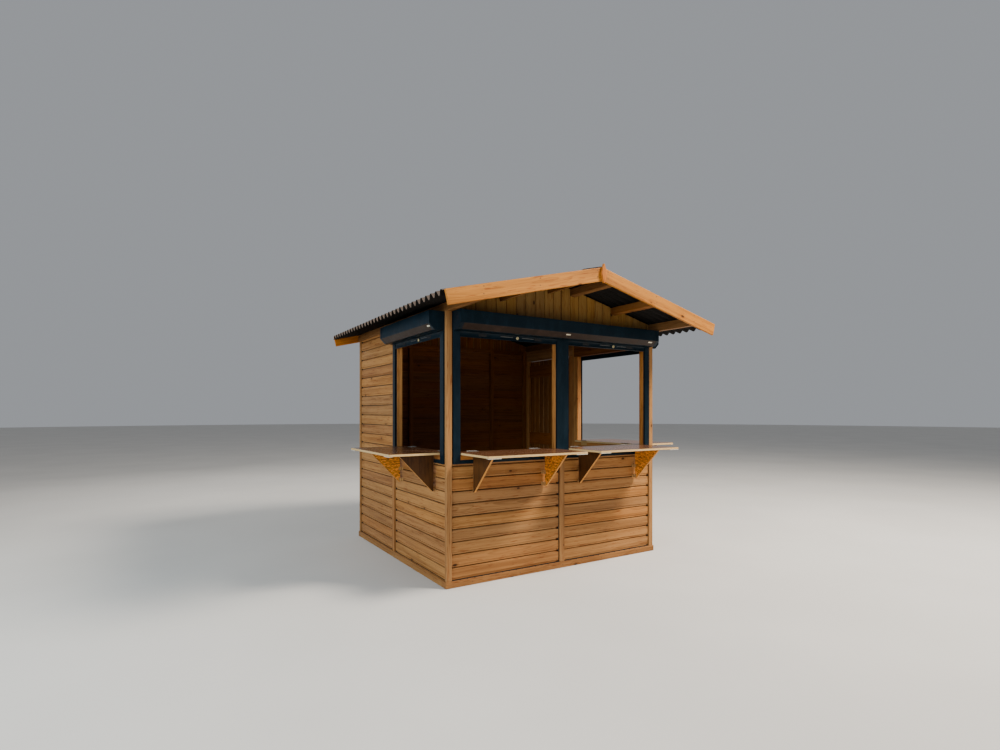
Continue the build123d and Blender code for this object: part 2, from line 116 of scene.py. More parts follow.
class StallBoards(bpy.types.PropertyGroup):
    """Sizes of the cladding, the gable boards and the door's planks."""

    pitch: length_setting("Board pitch", "Height from one board to the next", 0.096, 0.06, 0.2)
    first: length_setting("First board", "Height of the lowest board's lower edge", 0.056, 0.05, 0.1)
    gap: length_setting("Shadow gap", "Open joint between two boards", 0.009, 0.002, 0.02)
    tongue_depth: length_setting(
        "Tongue depth", "How far the tongue lies behind the boards' faces", 0.010, 0.004, 0.014)
    near_pocket: length_setting(
        "First notch", "Length of the notch at a board's first end, behind the post", 0.010, 0.0, 0.05)
    # The black strips between the boards and the posts are painted shade of that gap
    shade_strip: length_setting(
        "Post seal", "Width of the black seal between the boards and a centre post", 0.009, 0.0, 0.03)
    corner_shade_strip: length_setting(
        "Corner seal", "Width of the black seal between the boards and a corner post", 0.004, 0.0, 0.03)
    pocket: length_setting(
        "End pocket", "How far the tongue stops short of each board end", 0.026, 0.0, 0.05)
    lip: length_setting(
        "Lower lip", "Height of the strip below the groove of each board", 0.013, 0.005, 0.03)
    slack: length_setting("Slack", "How far boards stand out of line", 0.0007, 0.0, 0.003)
    tab_pitch: length_setting(
        "Strip tabs", "Distance between the tabs of the seal on the front base rail", 0.064, 0.03, 0.2)
    gable_width: length_setting(
        "Gable board", "Width of a gable board with its joint", 0.0944, 0.05, 0.2)
    gable_joint: length_setting(
        "Gable joint", "Open joint between two gable boards", 0.0045, 0.001, 0.01)
    cover: length_setting(
        "Joint cover", "How far a tongue reaches past the joint of upright boards", 0.008, 0.003, 0.02)
    door_planks: IntProperty(
        name="Door planks", description="Number of planks in the side door", default=9, min=3, max=16)
    edge: length_setting(
        "Eased edge", "Width of the planed edge on posts and rails", 0.0025, 0.0005, 0.006)


class StallShutters(bpy.types.PropertyGroup):
    """Sizes of the shutter boxes, the guide rails and the end slats."""

    groove: length_setting(
        "Guide slot", "Width of the slot that the shutter runs in", 0.013, 0.006, 0.016)
    groove_depth: length_setting(
        "Slot depth", "Depth of the slot that the shutter runs in", 0.028, 0.01, 0.05)
    skin: length_setting(
        "End plate rim", "How far an end plate stands proud of its box", 0.0012, 0.0003, 0.003)
    rim: length_setting(
        "Rim width", "Width of the end plate's rim on the face of its box", 0.034, 0.01, 0.06)
    lock: length_setting("Lock radius", "Radius of the round lock in an end slat", 0.0125, 0.008, 0.02)
    lock_offset: length_setting(
        "Lock offset", "How far the lock sits right of the slat's middle, from outside", 0.060, 0.0, 0.1)


class StallColours(bpy.types.PropertyGroup):
    """Base colours of the finishes."""

    board_light: colour_setting("Board, light", "Early wood of the cladding", (0.49, 0.240, 0.080))
    board_dark: colour_setting(
        "Board, dark", "Late wood and streaks of the cladding", (0.21, 0.082, 0.020))
    roof_light: colour_setting(
        "Roof timber, light", "Early wood of bargeboards and finials", (0.63, 0.240, 0.026))
    roof_dark: colour_setting(
        "Roof timber, dark", "Late wood of bargeboards and finials", (0.32, 0.105, 0.008))
    knot: colour_setting("Knots", "Colour of the knots", (0.040, 0.014, 0.005))
    paint: colour_setting(
        "Shutter paint", "Night blue of boxes, rails and slats", (0.0031, 0.0102, 0.0165))
    # The brown on the boxes' slanted undersides is a painted reflection of the ground
    underside_reflection: colour_setting(
        "Box underside", "Brown of the slanted undersides of the boxes", (0.024, 0.014, 0.010))
    film: colour_setting("Shelf film", "Dark film on the shelf boards", (0.100, 0.041, 0.018))
    ply: colour_setting("Board edge", "Bare edge of shelf boards", (0.68, 0.44, 0.19))
    strand: colour_setting("Strand board", "Flakes of the bracket boards", (0.80, 0.285, 0.032))
    floor: colour_setting("Floor", "Studio floor", (0.60, 0.58, 0.545))


class StallStudio(bpy.types.PropertyGroup):
    """Camera and light of the studio."""

    camera_place: FloatVectorProperty(
        name="Camera", description="Place of the camera", subtype="TRANSLATION", unit="LENGTH",
        size=3, default=(-2.930, -4.531, 1.327))
    camera_turn: FloatProperty(
        name="Camera turn", description="Turn of the camera to the right of the Y axis",
        default=radians(31.9), subtype="ANGLE", unit="ROTATION")
    lens_share: FloatProperty(
        name="Lens", description="Focal length as a share of the picture's width",
        default=0.548, min=0.1, max=5.0, subtype="FACTOR")
    rise: FloatProperty(
        name="Rise", description="Shift of the lens upwards, as a share of the picture's width",
        default=0.0372, min=-0.5, max=0.5, subtype="FACTOR")
    key: FloatProperty(
        name="Key light", description="Power of the key light", default=1900.0, unit="POWER")
    fill: FloatProperty(
        name="Fill light", description="Power of the fill light", default=170.0, unit="POWER")
    sky: FloatProperty(
        name="Sky", description="Strength of the light from all sides", default=0.36, min=0.0, max=5.0)


# Walls

def wall_place(wall):
    """Takes a point (u, v, z) of a wall to the stall's own frame."""
    corner, along, inwards = WALLS[wall]
    return Matrix((
        (along[0], inwards[0], 0, corner[0]),
        (along[1], inwards[1], 0, corner[1]),
        (0, 0, 1, 0),
        (0, 0, 0, 1),
    ))


def wall_span(node, wall):
    """The ends of a CAD node along a wall."""
    low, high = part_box(node)
    if wall in ("front", "rear"):
        return low.x + HALF_WIDTH, high.x + HALF_WIDTH
    return low.y - Y_FRONT, high.y - Y_FRONT


def hatches():
    """Each hatch: its name, its wall and the ends of its clear width."""
    for name, wall in SHELF_WALLS.items():
        start, end = wall_span(name + "_shelf", wall)
        yield name, wall, start - SHELF_SIDE_GAP, end + SHELF_SIDE_GAP


def rafter_line(x):
    """Height of the purlins' upper edges."""
    return RIDGE_LINE - abs(x) * SLOPE


# Meshes

def new_object(name, data):
    """An object in the scene, at the origin."""
    made = bpy.data.objects.new(name, data)
    bpy.context.scene.collection.objects.link(made)
    return made


def discard(piece):
    """Removes an object and its mesh."""
    mesh = piece.data
    bpy.data.objects.remove(piece)
    bpy.data.meshes.remove(mesh)


class Shape:
    """Solids gathered in one mesh, each face with the number of its finish."""

    def __init__(self):
        self.bm = bmesh.new()

    def skin(self, rings, finish=0):
        """Rings of equally many points, joined one to the next and closed at both ends."""
        rows = [[self.bm.verts.new(point) for point in ring] for ring in rings]
        faces = [self.bm.faces.new(rows[0]), self.bm.faces.new(rows[-1])]
        for near, far in zip(rows, rows[1:]):
            for index in range(len(near)):
                after = (index + 1) % len(near)
                faces.append(self.bm.faces.new((near[index], near[after], far[after], far[index])))
        for face in faces:
            face.material_index = finish
        bmesh.ops.recalc_face_normals(self.bm, faces=faces)
        return faces

    def box(self, u, v, z, finish=0):
        """A box between two values of u, of v and of z."""
        corners = ((u[0], v[0]), (u[1], v[0]), (u[1], v[1]), (u[0], v[1]))
        return self.skin([[Vector((a, b, height)) for a, b in corners] for height in z], finish)

    def prism(self, outline, run, finish=0):
        """A flat outline drawn along a vector."""
        start = [Vector(point) for point in outline]
        return self.skin([start, [point + Vector(run) for point in start]], finish)

    def run(self, section, start, end, finish=0):
        """A (v, z) section drawn along u."""
        return self.prism([(start, v, z) for v, z in section], (end - start, 0, 0), finish)

    def turned(self, start, direction, profile, sides=20, finish=0):
        """A round piece from (distance, radius) pairs along an axis."""
        axis = Vector(direction).normalized()
        across = axis.orthogonal().normalized()
        other = axis.cross(across)
        rings = []
        for reach, radius in profile:
            centre = Vector(start) + axis * reach
            ring = []
            for index in range(sides):
                angle = 2 * pi * index / sides
                ring.append(centre + (across * cos(angle) + other * sin(angle)) * radius)
            rings.append(ring)
        return self.skin(rings, finish)

    def take_nodes(self, *names):
        """CAD solids as clean faces, one finish for all."""
        for name in names:
            self.bm.from_mesh(nodes[name].data)
        bmesh.ops.remove_doubles(self.bm, verts=self.bm.verts, dist=0.00005)
        bmesh.ops.dissolve_limit(
            self.bm, angle_limit=radians(1), verts=self.bm.verts, edges=self.bm.edges)
        for face in self.bm.faces:
            face.material_index = 0
            face.smooth = False
        return self

    def ease(self, width, segments=2, sharp=30):
        """Eases every sharp edge."""
        edges = [
            edge for edge in self.bm.edges
            if len(edge.link_faces) == 2 and edge.calc_face_angle(0) > radians(sharp)
        ]
        bmesh.ops.bevel(
            self.bm, geom=edges, offset=width, offset_type="OFFSET", segments=segments,
            profile=0.5, affect="EDGES", clamp_overlap=True)
        return self

    def refinish(self, finish, test, only=None):
        """Gives a finish to the faces whose normal passes a test, or to those with one finish."""
        for face in self.bm.faces:
            face.normal_update()
            if only in (None, face.material_index) and test(face.normal):
                face.material_index = finish
        return self

    def cut_above(self, height):
        """Takes off what is above a height and closes the cut."""
        geometry = self.bm.verts[:] + self.bm.edges[:] + self.bm.faces[:]
        cut = bmesh.ops.bisect_plane(
            self.bm, geom=geometry, plane_co=(0, 0, height), plane_no=(0, 0, 1), clear_outer=True)
        rim = [item for item in cut["geom_cut"] if isinstance(item, bmesh.types.BMEdge)]
        bmesh.ops.holes_fill(self.bm, edges=rim, sides=0)
        return self

    def place(self, matrix):
        """Moves the solids, and turns their faces out again after a mirrored move."""
        bmesh.ops.transform(self.bm, matrix=matrix, verts=self.bm.verts)
        if matrix.determinant() < 0:
            bmesh.ops.reverse_faces(self.bm, faces=self.bm.faces)
        return self

    def take(self, piece, finish=None):
        """Adds the mesh of an object, with a finish where one is given, and removes the object."""
        before = len(self.bm.faces)
        self.bm.from_mesh(piece.data)
        self.bm.faces.ensure_lookup_table()
        if finish is not None:
            for face in self.bm.faces[before:]:
                face.material_index = finish
        discard(piece)
        return self

    def done(self, name, finishes, smooth=None):
        """The finished object, at the origin."""
        mesh = bpy.data.meshes.new(name)
        self.bm.to_mesh(mesh)
        self.bm.free()
        for finish in finishes:
            mesh.materials.append(finish)
        if smooth is not None:
            mesh.polygons.foreach_set("use_smooth", [True] * len(mesh.polygons))
            mesh.set_sharp_from_angle(angle=radians(smooth))
        return new_object(name, mesh)


# Grain: the log's heart beside each board, where the board starts in the log, and straight grain
HEART_DISTANCE = (0.03, 0.11)
GRAIN_START = (2, 60)
NEARLY_STRAIGHT = 0.995


def solid_numbers(mesh):
    """For each vertex the number of the solid that it belongs to."""
    edges = np.empty(len(mesh.edges) * 2, int)
    mesh.edges.foreach_get("vertices", edges)
    first, second = edges[0::2], edges[1::2]
    labels = np.arange(len(mesh.vertices))
    while True:
        lowest = np.minimum(labels[first], labels[second])
        found = labels.copy()
        np.minimum.at(found, first, lowest)
        np.minimum.at(found, second, lowest)
        found = found[found]
        if (found == labels).all():
            return labels
        labels = found


def long_axis(offsets):
    """The way in which a solid is longest, made straight where it is nearly along an axis."""
    spreads, axes = np.linalg.eigh(np.cov(offsets.T))
    run = axes[:, np.argmax(spreads)]
    if np.abs(run).max() > NEARLY_STRAIGHT:
        run = np.eye(3)[np.abs(run).argmax()]
    return run


def mark_grain(piece, seed, along=None):
    """Gives each solid a run of grain of its own, and a tone of its own."""
    rng = random.Random(seed)
    mesh = piece.data
    flat = np.empty(len(mesh.vertices) * 3)
    mesh.vertices.foreach_get("co", flat)
    places = flat.reshape(-1, 3)
    labels = solid_numbers(mesh)
    grain = np.zeros_like(places)
    tones = np.zeros(len(places))
    for label in np.unique(labels):
        members = labels == label
        points = places[members]
        offsets = points - (points.min(0) + points.max(0)) / 2
        run = long_axis(offsets) if along is None else np.array(along, float)
        flat_side = np.cross(run, (0, 0, 1)) if abs(run[2]) < 0.9 else np.cross(run, (0, 1, 0))
        flat_side /= np.linalg.norm(flat_side)
        other_side = np.cross(run, flat_side)
        heart = rng.uniform(0, 2 * pi)
        distance = rng.uniform(*HEART_DISTANCE)
        shift = (rng.uniform(*GRAIN_START), distance * cos(heart), distance * sin(heart))
        run = run * rng.choice((-1, 1))
        for column, axis in enumerate((run, flat_side, other_side)):
            grain[members, column] = offsets @ axis + shift[column]
        tones[members] = rng.random()
    mesh.attributes.new("grain", "FLOAT_VECTOR", "POINT").data.foreach_set("vector", grain.ravel())
    mesh.attributes.new("tone", "FLOAT", "POINT").data.foreach_set("value", tones)


# Node trees

class Wiring:
    """Builds a shader tree. Each method gives the socket that it makes."""

    def __init__(self, tree):
        self.tree = tree

    def node(self, kind, feeds=(), **settings):
        made = self.tree.nodes.new(kind)
        for key, value in settings.items():
            setattr(made, key, value)
        for socket, value in feeds:
            self.feed(made.inputs[socket], value)
        return made

    def feed(self, socket, value):
        if isinstance(value, bpy.types.NodeSocket):
            self.tree.links.new(value, socket)
        else:
            socket.default_value = value

    def math(self, operation, *values, clamp=False):
        node = self.node("ShaderNodeMath", enumerate(values), operation=operation, use_clamp=clamp)
        return node.outputs[0]

    def times(self, first, second):
        return self.math("MULTIPLY", first, second)

    def plus(self, first, *others):
        for other in others:
            first = self.math("ADD", first, other)
        return first

    def scaled(self, vector, factors):
        feeds = ((0, vector), (1, factors))
        return self.node("ShaderNodeVectorMath", feeds, operation="MULTIPLY").outputs[0]

    def length(self, vector):
        return self.node("ShaderNodeVectorMath", ((0, vector),), operation="LENGTH").outputs["Value"]

    def parts(self, vector):
        return self.node("ShaderNodeSeparateXYZ", ((0, vector),)).outputs

    def joined(self, x, y, z):
        return self.node("ShaderNodeCombineXYZ", ((0, x), (1, y), (2, z))).outputs[0]

    def noise(self, where, scale=1.0, detail=2.0, roughness=0.5):
        feeds = (("Vector", where), ("Scale", scale), ("Detail", detail), ("Roughness", roughness))
        return self.node("ShaderNodeTexNoise", feeds).outputs[0]

    def stretched(self, where, factors, **settings):
        """Noise drawn out by a factor along each axis."""
        return self.noise(self.scaled(where, factors), **settings)

    def cells(self, where, scale=1.0, dimensions="2D", randomness=1.0):
        feeds = (("Vector", where), ("Scale", scale), ("Randomness", randomness))
        return self.node("ShaderNodeTexVoronoi", feeds, voronoi_dimensions=dimensions).outputs

    def ranged(self, value, low, high, to_low=0.0, to_high=1.0, smooth=True):
        kind = "SMOOTHSTEP" if smooth else "LINEAR"
        feeds = ((0, value), (1, low), (2, high), (3, to_low), (4, to_high))
        return self.node("ShaderNodeMapRange", feeds, interpolation_type=kind).outputs[0]

    def mixed(self, factor, first, second, blend="MIX"):
        feeds = ((0, factor), (6, first), (7, second))
        node = self.node("ShaderNodeMix", feeds, data_type="RGBA", blend_type=blend)
        return node.outputs[2]

    def either(self, factor, first, second):
        """One number or the other, by a factor of 0 or 1."""
        return self.node("ShaderNodeMix", ((0, factor), (2, first), (3, second))).outputs[0]

    def graded(self, colour, value, low, high, first, second):
        """Two shades of a colour, mixed by how far a value lies between two others."""
        return self.mixed(self.ranged(value, low, high), shade(colour, first), shade(colour, second))

    def tinted(self, factor, colour, tint):
        """A colour, multiplied by a tint as far as the factor says."""
        return self.mixed(factor, colour, self.mixed(1.0, colour, tint, blend="MULTIPLY"))

    def ramp(self, factor, stops):
        node = self.node("ShaderNodeValToRGB", ((0, factor),))
        elements = node.color_ramp.elements
        while len(elements) < len(stops):
            elements.new(0.5)
        for element, (place, value) in zip(elements, stops):
            element.position = place
            element.color = (value, value, value, 1)
        return node.outputs[0]

    def bump(self, height, strength, distance):
        feeds = (("Strength", strength), ("Distance", distance), ("Height", height))
        return self.node("ShaderNodeBump", feeds).outputs[0]

    def place(self):
        """Object coordinates, in metres."""
        return self.node("ShaderNodeTexCoord").outputs["Object"]

    def attribute(self, name, output):
        return self.node("ShaderNodeAttribute", attribute_name=name).outputs[output]


# Geometry Nodes: what repeats

def new_tree(name, sockets):
    """A Geometry Nodes tree with named inputs: the tree, its wiring and what it is given."""
    tree = bpy.data.node_groups.new(name, "GeometryNodeTree")
    tree.interface.new_socket("Geometry", in_out="OUTPUT", socket_type="NodeSocketGeometry")
    for title, kind in sockets:
        tree.interface.new_socket(title, in_out="INPUT", socket_type="NodeSocket" + kind)
    wiring = Wiring(tree)
    return tree, wiring, wiring.node("NodeGroupInput").outputs


def by_chance(wiring, reach, seed):
    """A random vector between the opposite of a vector and the vector itself."""
    opposite = wiring.node("ShaderNodeVectorMath", ((0, reach), ("Scale", -1.0)), operation="SCALE")
    feeds = ((0, opposite.outputs[0]), (1, reach), ("Seed", seed))
    return wiring.node("FunctionNodeRandomValue", feeds, data_type="FLOAT_VECTOR").outputs[0]


def finish_tree(wiring, given, points):
    """Puts the piece on the points, a little turned, makes it real and gives it its finish."""
    turn = by_chance(wiring, given["Turn"], given["Seed"])
    info = wiring.node("GeometryNodeObjectInfo", (("Object", given["Piece"]), ("As Instance", True)))
    feeds = (("Points", points), ("Instance", info.outputs["Geometry"]), ("Rotation", turn))
    copies = wiring.node("GeometryNodeInstanceOnPoints", feeds).outputs["Instances"]
    real = wiring.node("GeometryNodeRealizeInstances", (("Geometry", copies),)).outputs["Geometry"]
    feeds = (("Geometry", real), ("Material", given["Finish"]))
    finished = wiring.node("GeometryNodeSetMaterial", feeds).outputs["Geometry"]
    wiring.node("NodeGroupOutput", (("Geometry", finished),))


def row_tree():
    """Copies a piece in a straight row, each copy a little out of line."""
    tree, wiring, given = new_tree("row of pieces", (
        ("Piece", "Object"), ("Count", "Int"), ("Start", "Vector"), ("Step", "Vector"),
        ("Slack", "Vector"), ("Turn", "Vector"), ("Seed", "Int"), ("Finish", "Material"),
    ))
    feeds = (("Count", given["Count"]), ("Start Location", given["Start"]), ("Offset", given["Step"]))
    line = wiring.node("GeometryNodeMeshLine", feeds, mode="OFFSET").outputs["Mesh"]
    shift = by_chance(wiring, given["Slack"], given["Seed"])
    moved = wiring.node("GeometryNodeSetPosition", (("Geometry", line), ("Offset", shift)))
    finish_tree(wiring, given, moved.outputs["Geometry"])
    return tree


def scatter_tree():
    """Copies a piece onto the points of the host mesh, each copy with a turn of its own."""
    tree, wiring, given = new_tree("pieces on points", (
        ("Points", "Geometry"), ("Piece", "Object"), ("Turn", "Vector"), ("Seed", "Int"),
        ("Finish", "Material"),
    ))
    finish_tree(wiring, given, given["Points"])
    return tree


def grow(name, tree, settings, points=()):
    """Runs a tree and gives its result as a plain mesh object."""
    host_mesh = bpy.data.meshes.new(name + "_points")
    host_mesh.from_pydata([tuple(point) for point in points], [], [])
    host = new_object(name, host_mesh)
    modifier = host.modifiers.new("rule", "NODES")
    modifier.node_group = tree
    for socket in tree.interface.items_tree:
        if socket.in_out == "INPUT" and socket.name in settings:
            modifier[socket.identifier] = settings[socket.name]
    graph = bpy.context.evaluated_depsgraph_get()
    mesh = bpy.data.meshes.new_from_object(host.evaluated_get(graph))
    host.modifiers.remove(modifier)
    host.data = mesh
    bpy.data.meshes.remove(host_mesh)
    if not mesh.vertices:
        raise RuntimeError(name + " came out empty")
    return host


# Materials

def shade(colour, factor=1.0):
    """A colour as RGBA, made darker or lighter by a factor."""
    return (colour[0] * factor, colour[1] * factor, colour[2] * factor, 1.0)


def new_material(name, **constants):
    """A material with a Principled shader, its constant sockets set, and its wiring."""
    made = bpy.data.materials.new(name)
    made.use_nodes = True
    made.node_tree.nodes.clear()
    wiring = Wiring(made.node_tree)
    shader = wiring.node("ShaderNodeBsdfPrincipled")
    for key, value in constants.items():
        shader.inputs[key.replace("_", " ")].default_value = value
    wiring.node("ShaderNodeOutputMaterial", ((0, shader.outputs[0]),))
    return made, wiring, shader


def connect(wiring, shader, colour, roughness, normal):
    wiring.feed(shader.inputs["Base Color"], colour)
    wiring.feed(shader.inputs["Roughness"], roughness)
    wiring.feed(shader.inputs["Normal"], normal)


def knot_pattern(wiring, place, share):
    """Knots with their halos, in a share of the cells of a flat pattern."""
    cells = wiring.cells(place, scale=6.0)
    chance = wiring.parts(cells["Color"])
    present = wiring.math("LESS_THAN", chance[0], share)
    radius = wiring.ranged(chance[1], 0.0, 1.0, 0.028, 0.075, smooth=False)
    core = wiring.ranged(wiring.math("DIVIDE", cells["Distance"], radius), 1.0, 0.55)
    knot = wiring.times(core, present)
    halo = wiring.times(wiring.ranged(cells["Distance"], 0.26, 0.02), present)
    return knot, halo


def timber_group():
    """Rings, fibres, streaks, resin veins and knots that follow each solid's own grain."""
    tree = bpy.data.node_groups.new("timber grain", "ShaderNodeTree")
    sockets = (
        ("INPUT", "Color", ("Light", "Dark", "Warm", "Knot")), ("INPUT", "Float", ("Knots", "Streaks")),
        ("OUTPUT", "Color", ("Colour",)), ("OUTPUT", "Float", ("Fibre", "Height")),
    )
    for side, kind, titles in sockets:
        for title in titles:
            tree.interface.new_socket(title, in_out=side, socket_type="NodeSocket" + kind)
    wiring = Wiring(tree)
    given = wiring.node("NodeGroupInput").outputs
    grain = wiring.attribute("grain", "Vector")
    tone = wiring.attribute("tone", "Fac")
    along, across, through = wiring.parts(grain)
    ring_pitch = 0.0062

    knot_place = wiring.joined(wiring.times(along, 0.5), wiring.plus(across, through), 0.0)
    knot, halo = knot_pattern(wiring, knot_place, given["Knots"])
    sway = wiring.stretched(grain, (1.4, 9.0, 9.0))
    from_heart = wiring.length(wiring.joined(0.0, across, through))
    bend = wiring.plus(wiring.times(sway, 0.045), wiring.times(halo, 0.010))
    ring = wiring.math("FRACT", wiring.math("DIVIDE", wiring.plus(from_heart, bend), ring_pitch))
    late = wiring.ramp(ring, ((0.0, 0.1), (0.5, 0.25), (0.86, 1.0), (0.98, 0.1)))
    fibre = wiring.stretched(grain, (6.0, 300.0, 300.0), detail=3.0, roughness=0.6)
    streak = wiring.stretched(grain, (0.9, 34.0, 34.0), detail=4.0, roughness=0.6)
    cloud = wiring.stretched(grain, (2.0, 7.0, 7.0))
    vein = wiring.stretched(grain, (9.0, 130.0, 130.0))

    streaks = wiring.times(wiring.ranged(streak, 0.40, 0.68), given["Streaks"])
    amount = wiring.plus(
        wiring.times(late, 0.40), wiring.times(fibre, 0.35), streaks, wiring.times(cloud, 0.35))
    amount = wiring.math("SUBTRACT", amount, 0.20, clamp=True)
    colour = wiring.mixed(amount, given["Light"], given["Dark"])
    colour = wiring.tinted(wiring.ranged(tone, 0.35, 0.95), colour, given["Warm"])
    level = wiring.math("FRACT", wiring.times(tone, 7.31))
    feeds = (
        ("Hue", 0.5), ("Saturation", wiring.ranged(level, 0.0, 1.0, 0.975, 1.015)),
        ("Value", wiring.ranged(level, 0.0, 1.0, 0.90, 1.08)), ("Fac", 1.0), ("Color", colour),
    )
    colour = wiring.node("ShaderNodeHueSaturation", feeds).outputs[0]
    colour = wiring.tinted(wiring.ranged(vein, 0.60, 0.70, 0.0, 0.8), colour, (0.58, 0.34, 0.22, 1.0))
    colour = wiring.tinted(wiring.times(halo, 0.5), colour, (0.62, 0.50, 0.40, 1.0))
    colour = wiring.mixed(wiring.times(knot, 0.9), colour, given["Knot"])
    height = wiring.plus(wiring.times(fibre, 0.7), wiring.times(late, -0.3), wiring.times(knot, -0.5))
    wiring.node("NodeGroupOutput", (("Colour", colour), ("Fibre", fibre), ("Height", height)))
    return tree


def timber(name, light, dark, knot, warm=(1.0, 0.88, 0.74), knots=0.30, streaks=0.45, smooth=0.50):
    """A planed board with its own grain."""
    made, wiring, shader = new_material(name, Specular_IOR_Level=0.12)
    group = made.node_tree.nodes.new("ShaderNodeGroup")
    group.node_tree = bpy.data.node_groups.get("timber grain") or timber_group()
    for title, value in (("Light", light), ("Dark", dark), ("Knot", knot), ("Warm", warm)):
        group.inputs[title].default_value = shade(value)
    group.inputs["Knots"].default_value = knots
    group.inputs["Streaks"].default_value = streaks
    out = group.outputs
    roughness = wiring.ranged(out["Fibre"], 0.25, 0.75, smooth - 0.08, smooth + 0.16)
    connect(wiring, shader, out["Colour"], roughness, wiring.bump(out["Height"], 0.45, 0.0009))
    return made


def paint(name, colour, smooth=0.32):
    """Satin stove enamel with a fine orange peel, dust and a few rubbed spots."""
    made, wiring, shader = new_material(name, Specular_IOR_Level=0.12)
    place = wiring.place()
    dust = wiring.stretched(place, (3.0, 3.0, 1.2), scale=4.0, detail=5.0, roughness=0.65)
    peel = wiring.noise(place, scale=420.0)
    rubbed = wiring.ranged(wiring.noise(place, scale=35.0, detail=4.0), 0.62, 0.75)
    faded = wiring.graded(colour, dust, 0.45, 0.75, 1.0, 1.7)
    tone = wiring.mixed(wiring.times(rubbed, 0.35), faded, shade(colour, 2.4))
    roughness = wiring.ranged(dust, 0.3, 0.7, smooth - 0.05, smooth + 0.12)
    connect(wiring, shader, tone, roughness, wiring.bump(peel, 0.12, 0.0004))
    return made


def film_board(name, colour, smooth=0.22, lines=0.0, shine=0.5):
    """Resin film on plywood: a dark gloss with faint mottling, veins and a pressed mesh."""
    made, wiring, shader = new_material(name, Specular_IOR_Level=shine)
    place = wiring.place()
    mottle = wiring.noise(place, scale=9.0, detail=4.0)
    veins = wiring.stretched(place, (14.0, 14.0, 1.5), scale=6.0, detail=4.0)
    scuffs = wiring.ranged(wiring.noise(place, scale=120.0, detail=3.0), 0.55, 0.75)
    tone = wiring.graded(colour, mottle, 0.3, 0.7, 0.90, 1.10)
    tone = wiring.mixed(wiring.times(wiring.ranged(veins, 0.4, 0.7), lines), tone, shade(colour, 0.4))
    gloss = wiring.ranged(mottle, 0.3, 0.7, smooth, smooth + 0.05)
    weave = wiring.parts(wiring.scaled(place, (1800.0, 1800.0, 1800.0)))
    mesh = wiring.times(wiring.math("SINE", weave["X"]), wiring.math("SINE", weave["Y"]))
    roughness = wiring.plus(gloss, wiring.times(scuffs, 0.10))
    connect(wiring, shader, tone, roughness, wiring.bump(mesh, 0.06, 0.0003))
    return made


def layered_edge(name, colour):
    """The sawn edge of plywood: pale plies with thin dark glue lines."""
    made, wiring, shader = new_material(name, Specular_IOR_Level=0.25)
    place = wiring.place()
    plies_per_metre = 500.0
    above = wiring.math("SUBTRACT", wiring.parts(place)["Z"], SHELF_BOTTOM)
    line = wiring.ranged(wiring.math("FRACT", wiring.times(above, plies_per_metre)), 0.82, 0.92)
    fibre = wiring.stretched(place, (40.0, 40.0, 500.0), detail=3.0)
    tone = wiring.graded(colour, fibre, 0.3, 0.7, 0.8, 1.12)
    tone = wiring.mixed(wiring.times(line, 0.5), tone, shade(colour, 0.35))
    roughness = wiring.ranged(fibre, 0.3, 0.7, 0.5, 0.7)
    connect(wiring, shader, tone, roughness, wiring.bump(fibre, 0.3, 0.0005))
    return made


def strand_board(name, colour):
    """Pressed strands: long flakes that lie every way, with dark gaps between them."""
    made, wiring, shader = new_material(name, Specular_IOR_Level=0.3)
    x, y, z = wiring.parts(wiring.place())
    flat = wiring.joined(wiring.plus(x, y), z, 0.0)
    layers = []
    for index, angle in enumerate((18.0, 74.0, 131.0)):
        feeds = (("Vector", flat), ("Rotation", (0.0, 0.0, radians(angle))),
                 ("Scale", (22.0, 85.0, 1.0)), ("Location", (index * 3.7, index * 1.9, 0.0)))
        turned = wiring.node("ShaderNodeMapping", feeds).outputs[0]
        layers.append(wiring.parts(wiring.cells(turned, scale=2.1)["Color"]))
    first, second, third = layers
    value = wiring.either(wiring.math("GREATER_THAN", first[1], 0.52), first[0], second[0])
    value = wiring.either(wiring.math("GREATER_THAN", second[1], 0.60), value, third[0])
    fibre = wiring.stretched(flat, (60.0, 320.0, 1.0), detail=3.0)
    tone = wiring.graded(colour, value, 0.1, 0.9, 0.45, 1.35)
    tone = wiring.mixed(wiring.ranged(fibre, 0.45, 0.75, 0.0, 0.45), tone, shade(colour, 0.3))
    gap = wiring.ranged(value, 0.0, 0.16, 1.0, 0.0)
    tone = wiring.mixed(wiring.times(gap, 0.6), tone, shade(colour, 0.15))
    roughness = wiring.ranged(fibre, 0.3, 0.7, 0.42, 0.66)
    height = wiring.plus(value, wiring.times(fibre, 0.3))
    connect(wiring, shader, tone, roughness, wiring.bump(height, 0.5, 0.0012))
    return made


def galvanised(name, colour, metallic, smooth):
    """Plated metal with a faint spangle and dull patches."""
    made, wiring, shader = new_material(name, Metallic=metallic)
    place = wiring.place()
    spangle = wiring.parts(wiring.cells(place, scale=260.0, dimensions="3D")["Color"])[0]
    dull = wiring.noise(place, scale=60.0, detail=4.0)
    tone = wiring.graded(colour, spangle, 0.0, 1.0, 0.82, 1.08)
    tone = wiring.mixed(wiring.ranged(dull, 0.5, 0.75, 0.0, 0.5), tone, shade(colour, 0.6))
    roughness = wiring.ranged(dull, 0.3, 0.7, smooth - 0.08, smooth + 0.18)
    connect(wiring, shader, tone, roughness, wiring.bump(spangle, 0.08, 0.0003))
    return made


def plain_plastic(name, colour, smooth=0.45):
    """Moulded plastic or rubber with a fine grain."""
    made, wiring, shader = new_material(name, Specular_IOR_Level=0.4)
    place = wiring.place()
    fine = wiring.noise(place, scale=700.0)
    soil = wiring.noise(place, scale=40.0, detail=4.0)
    tone = wiring.graded(colour, soil, 0.45, 0.75, 1.0, 0.72)
    roughness = wiring.ranged(soil, 0.3, 0.7, smooth, smooth + 0.2)
    connect(wiring, shader, tone, roughness, wiring.bump(fine, 0.15, 0.0003))
    return made


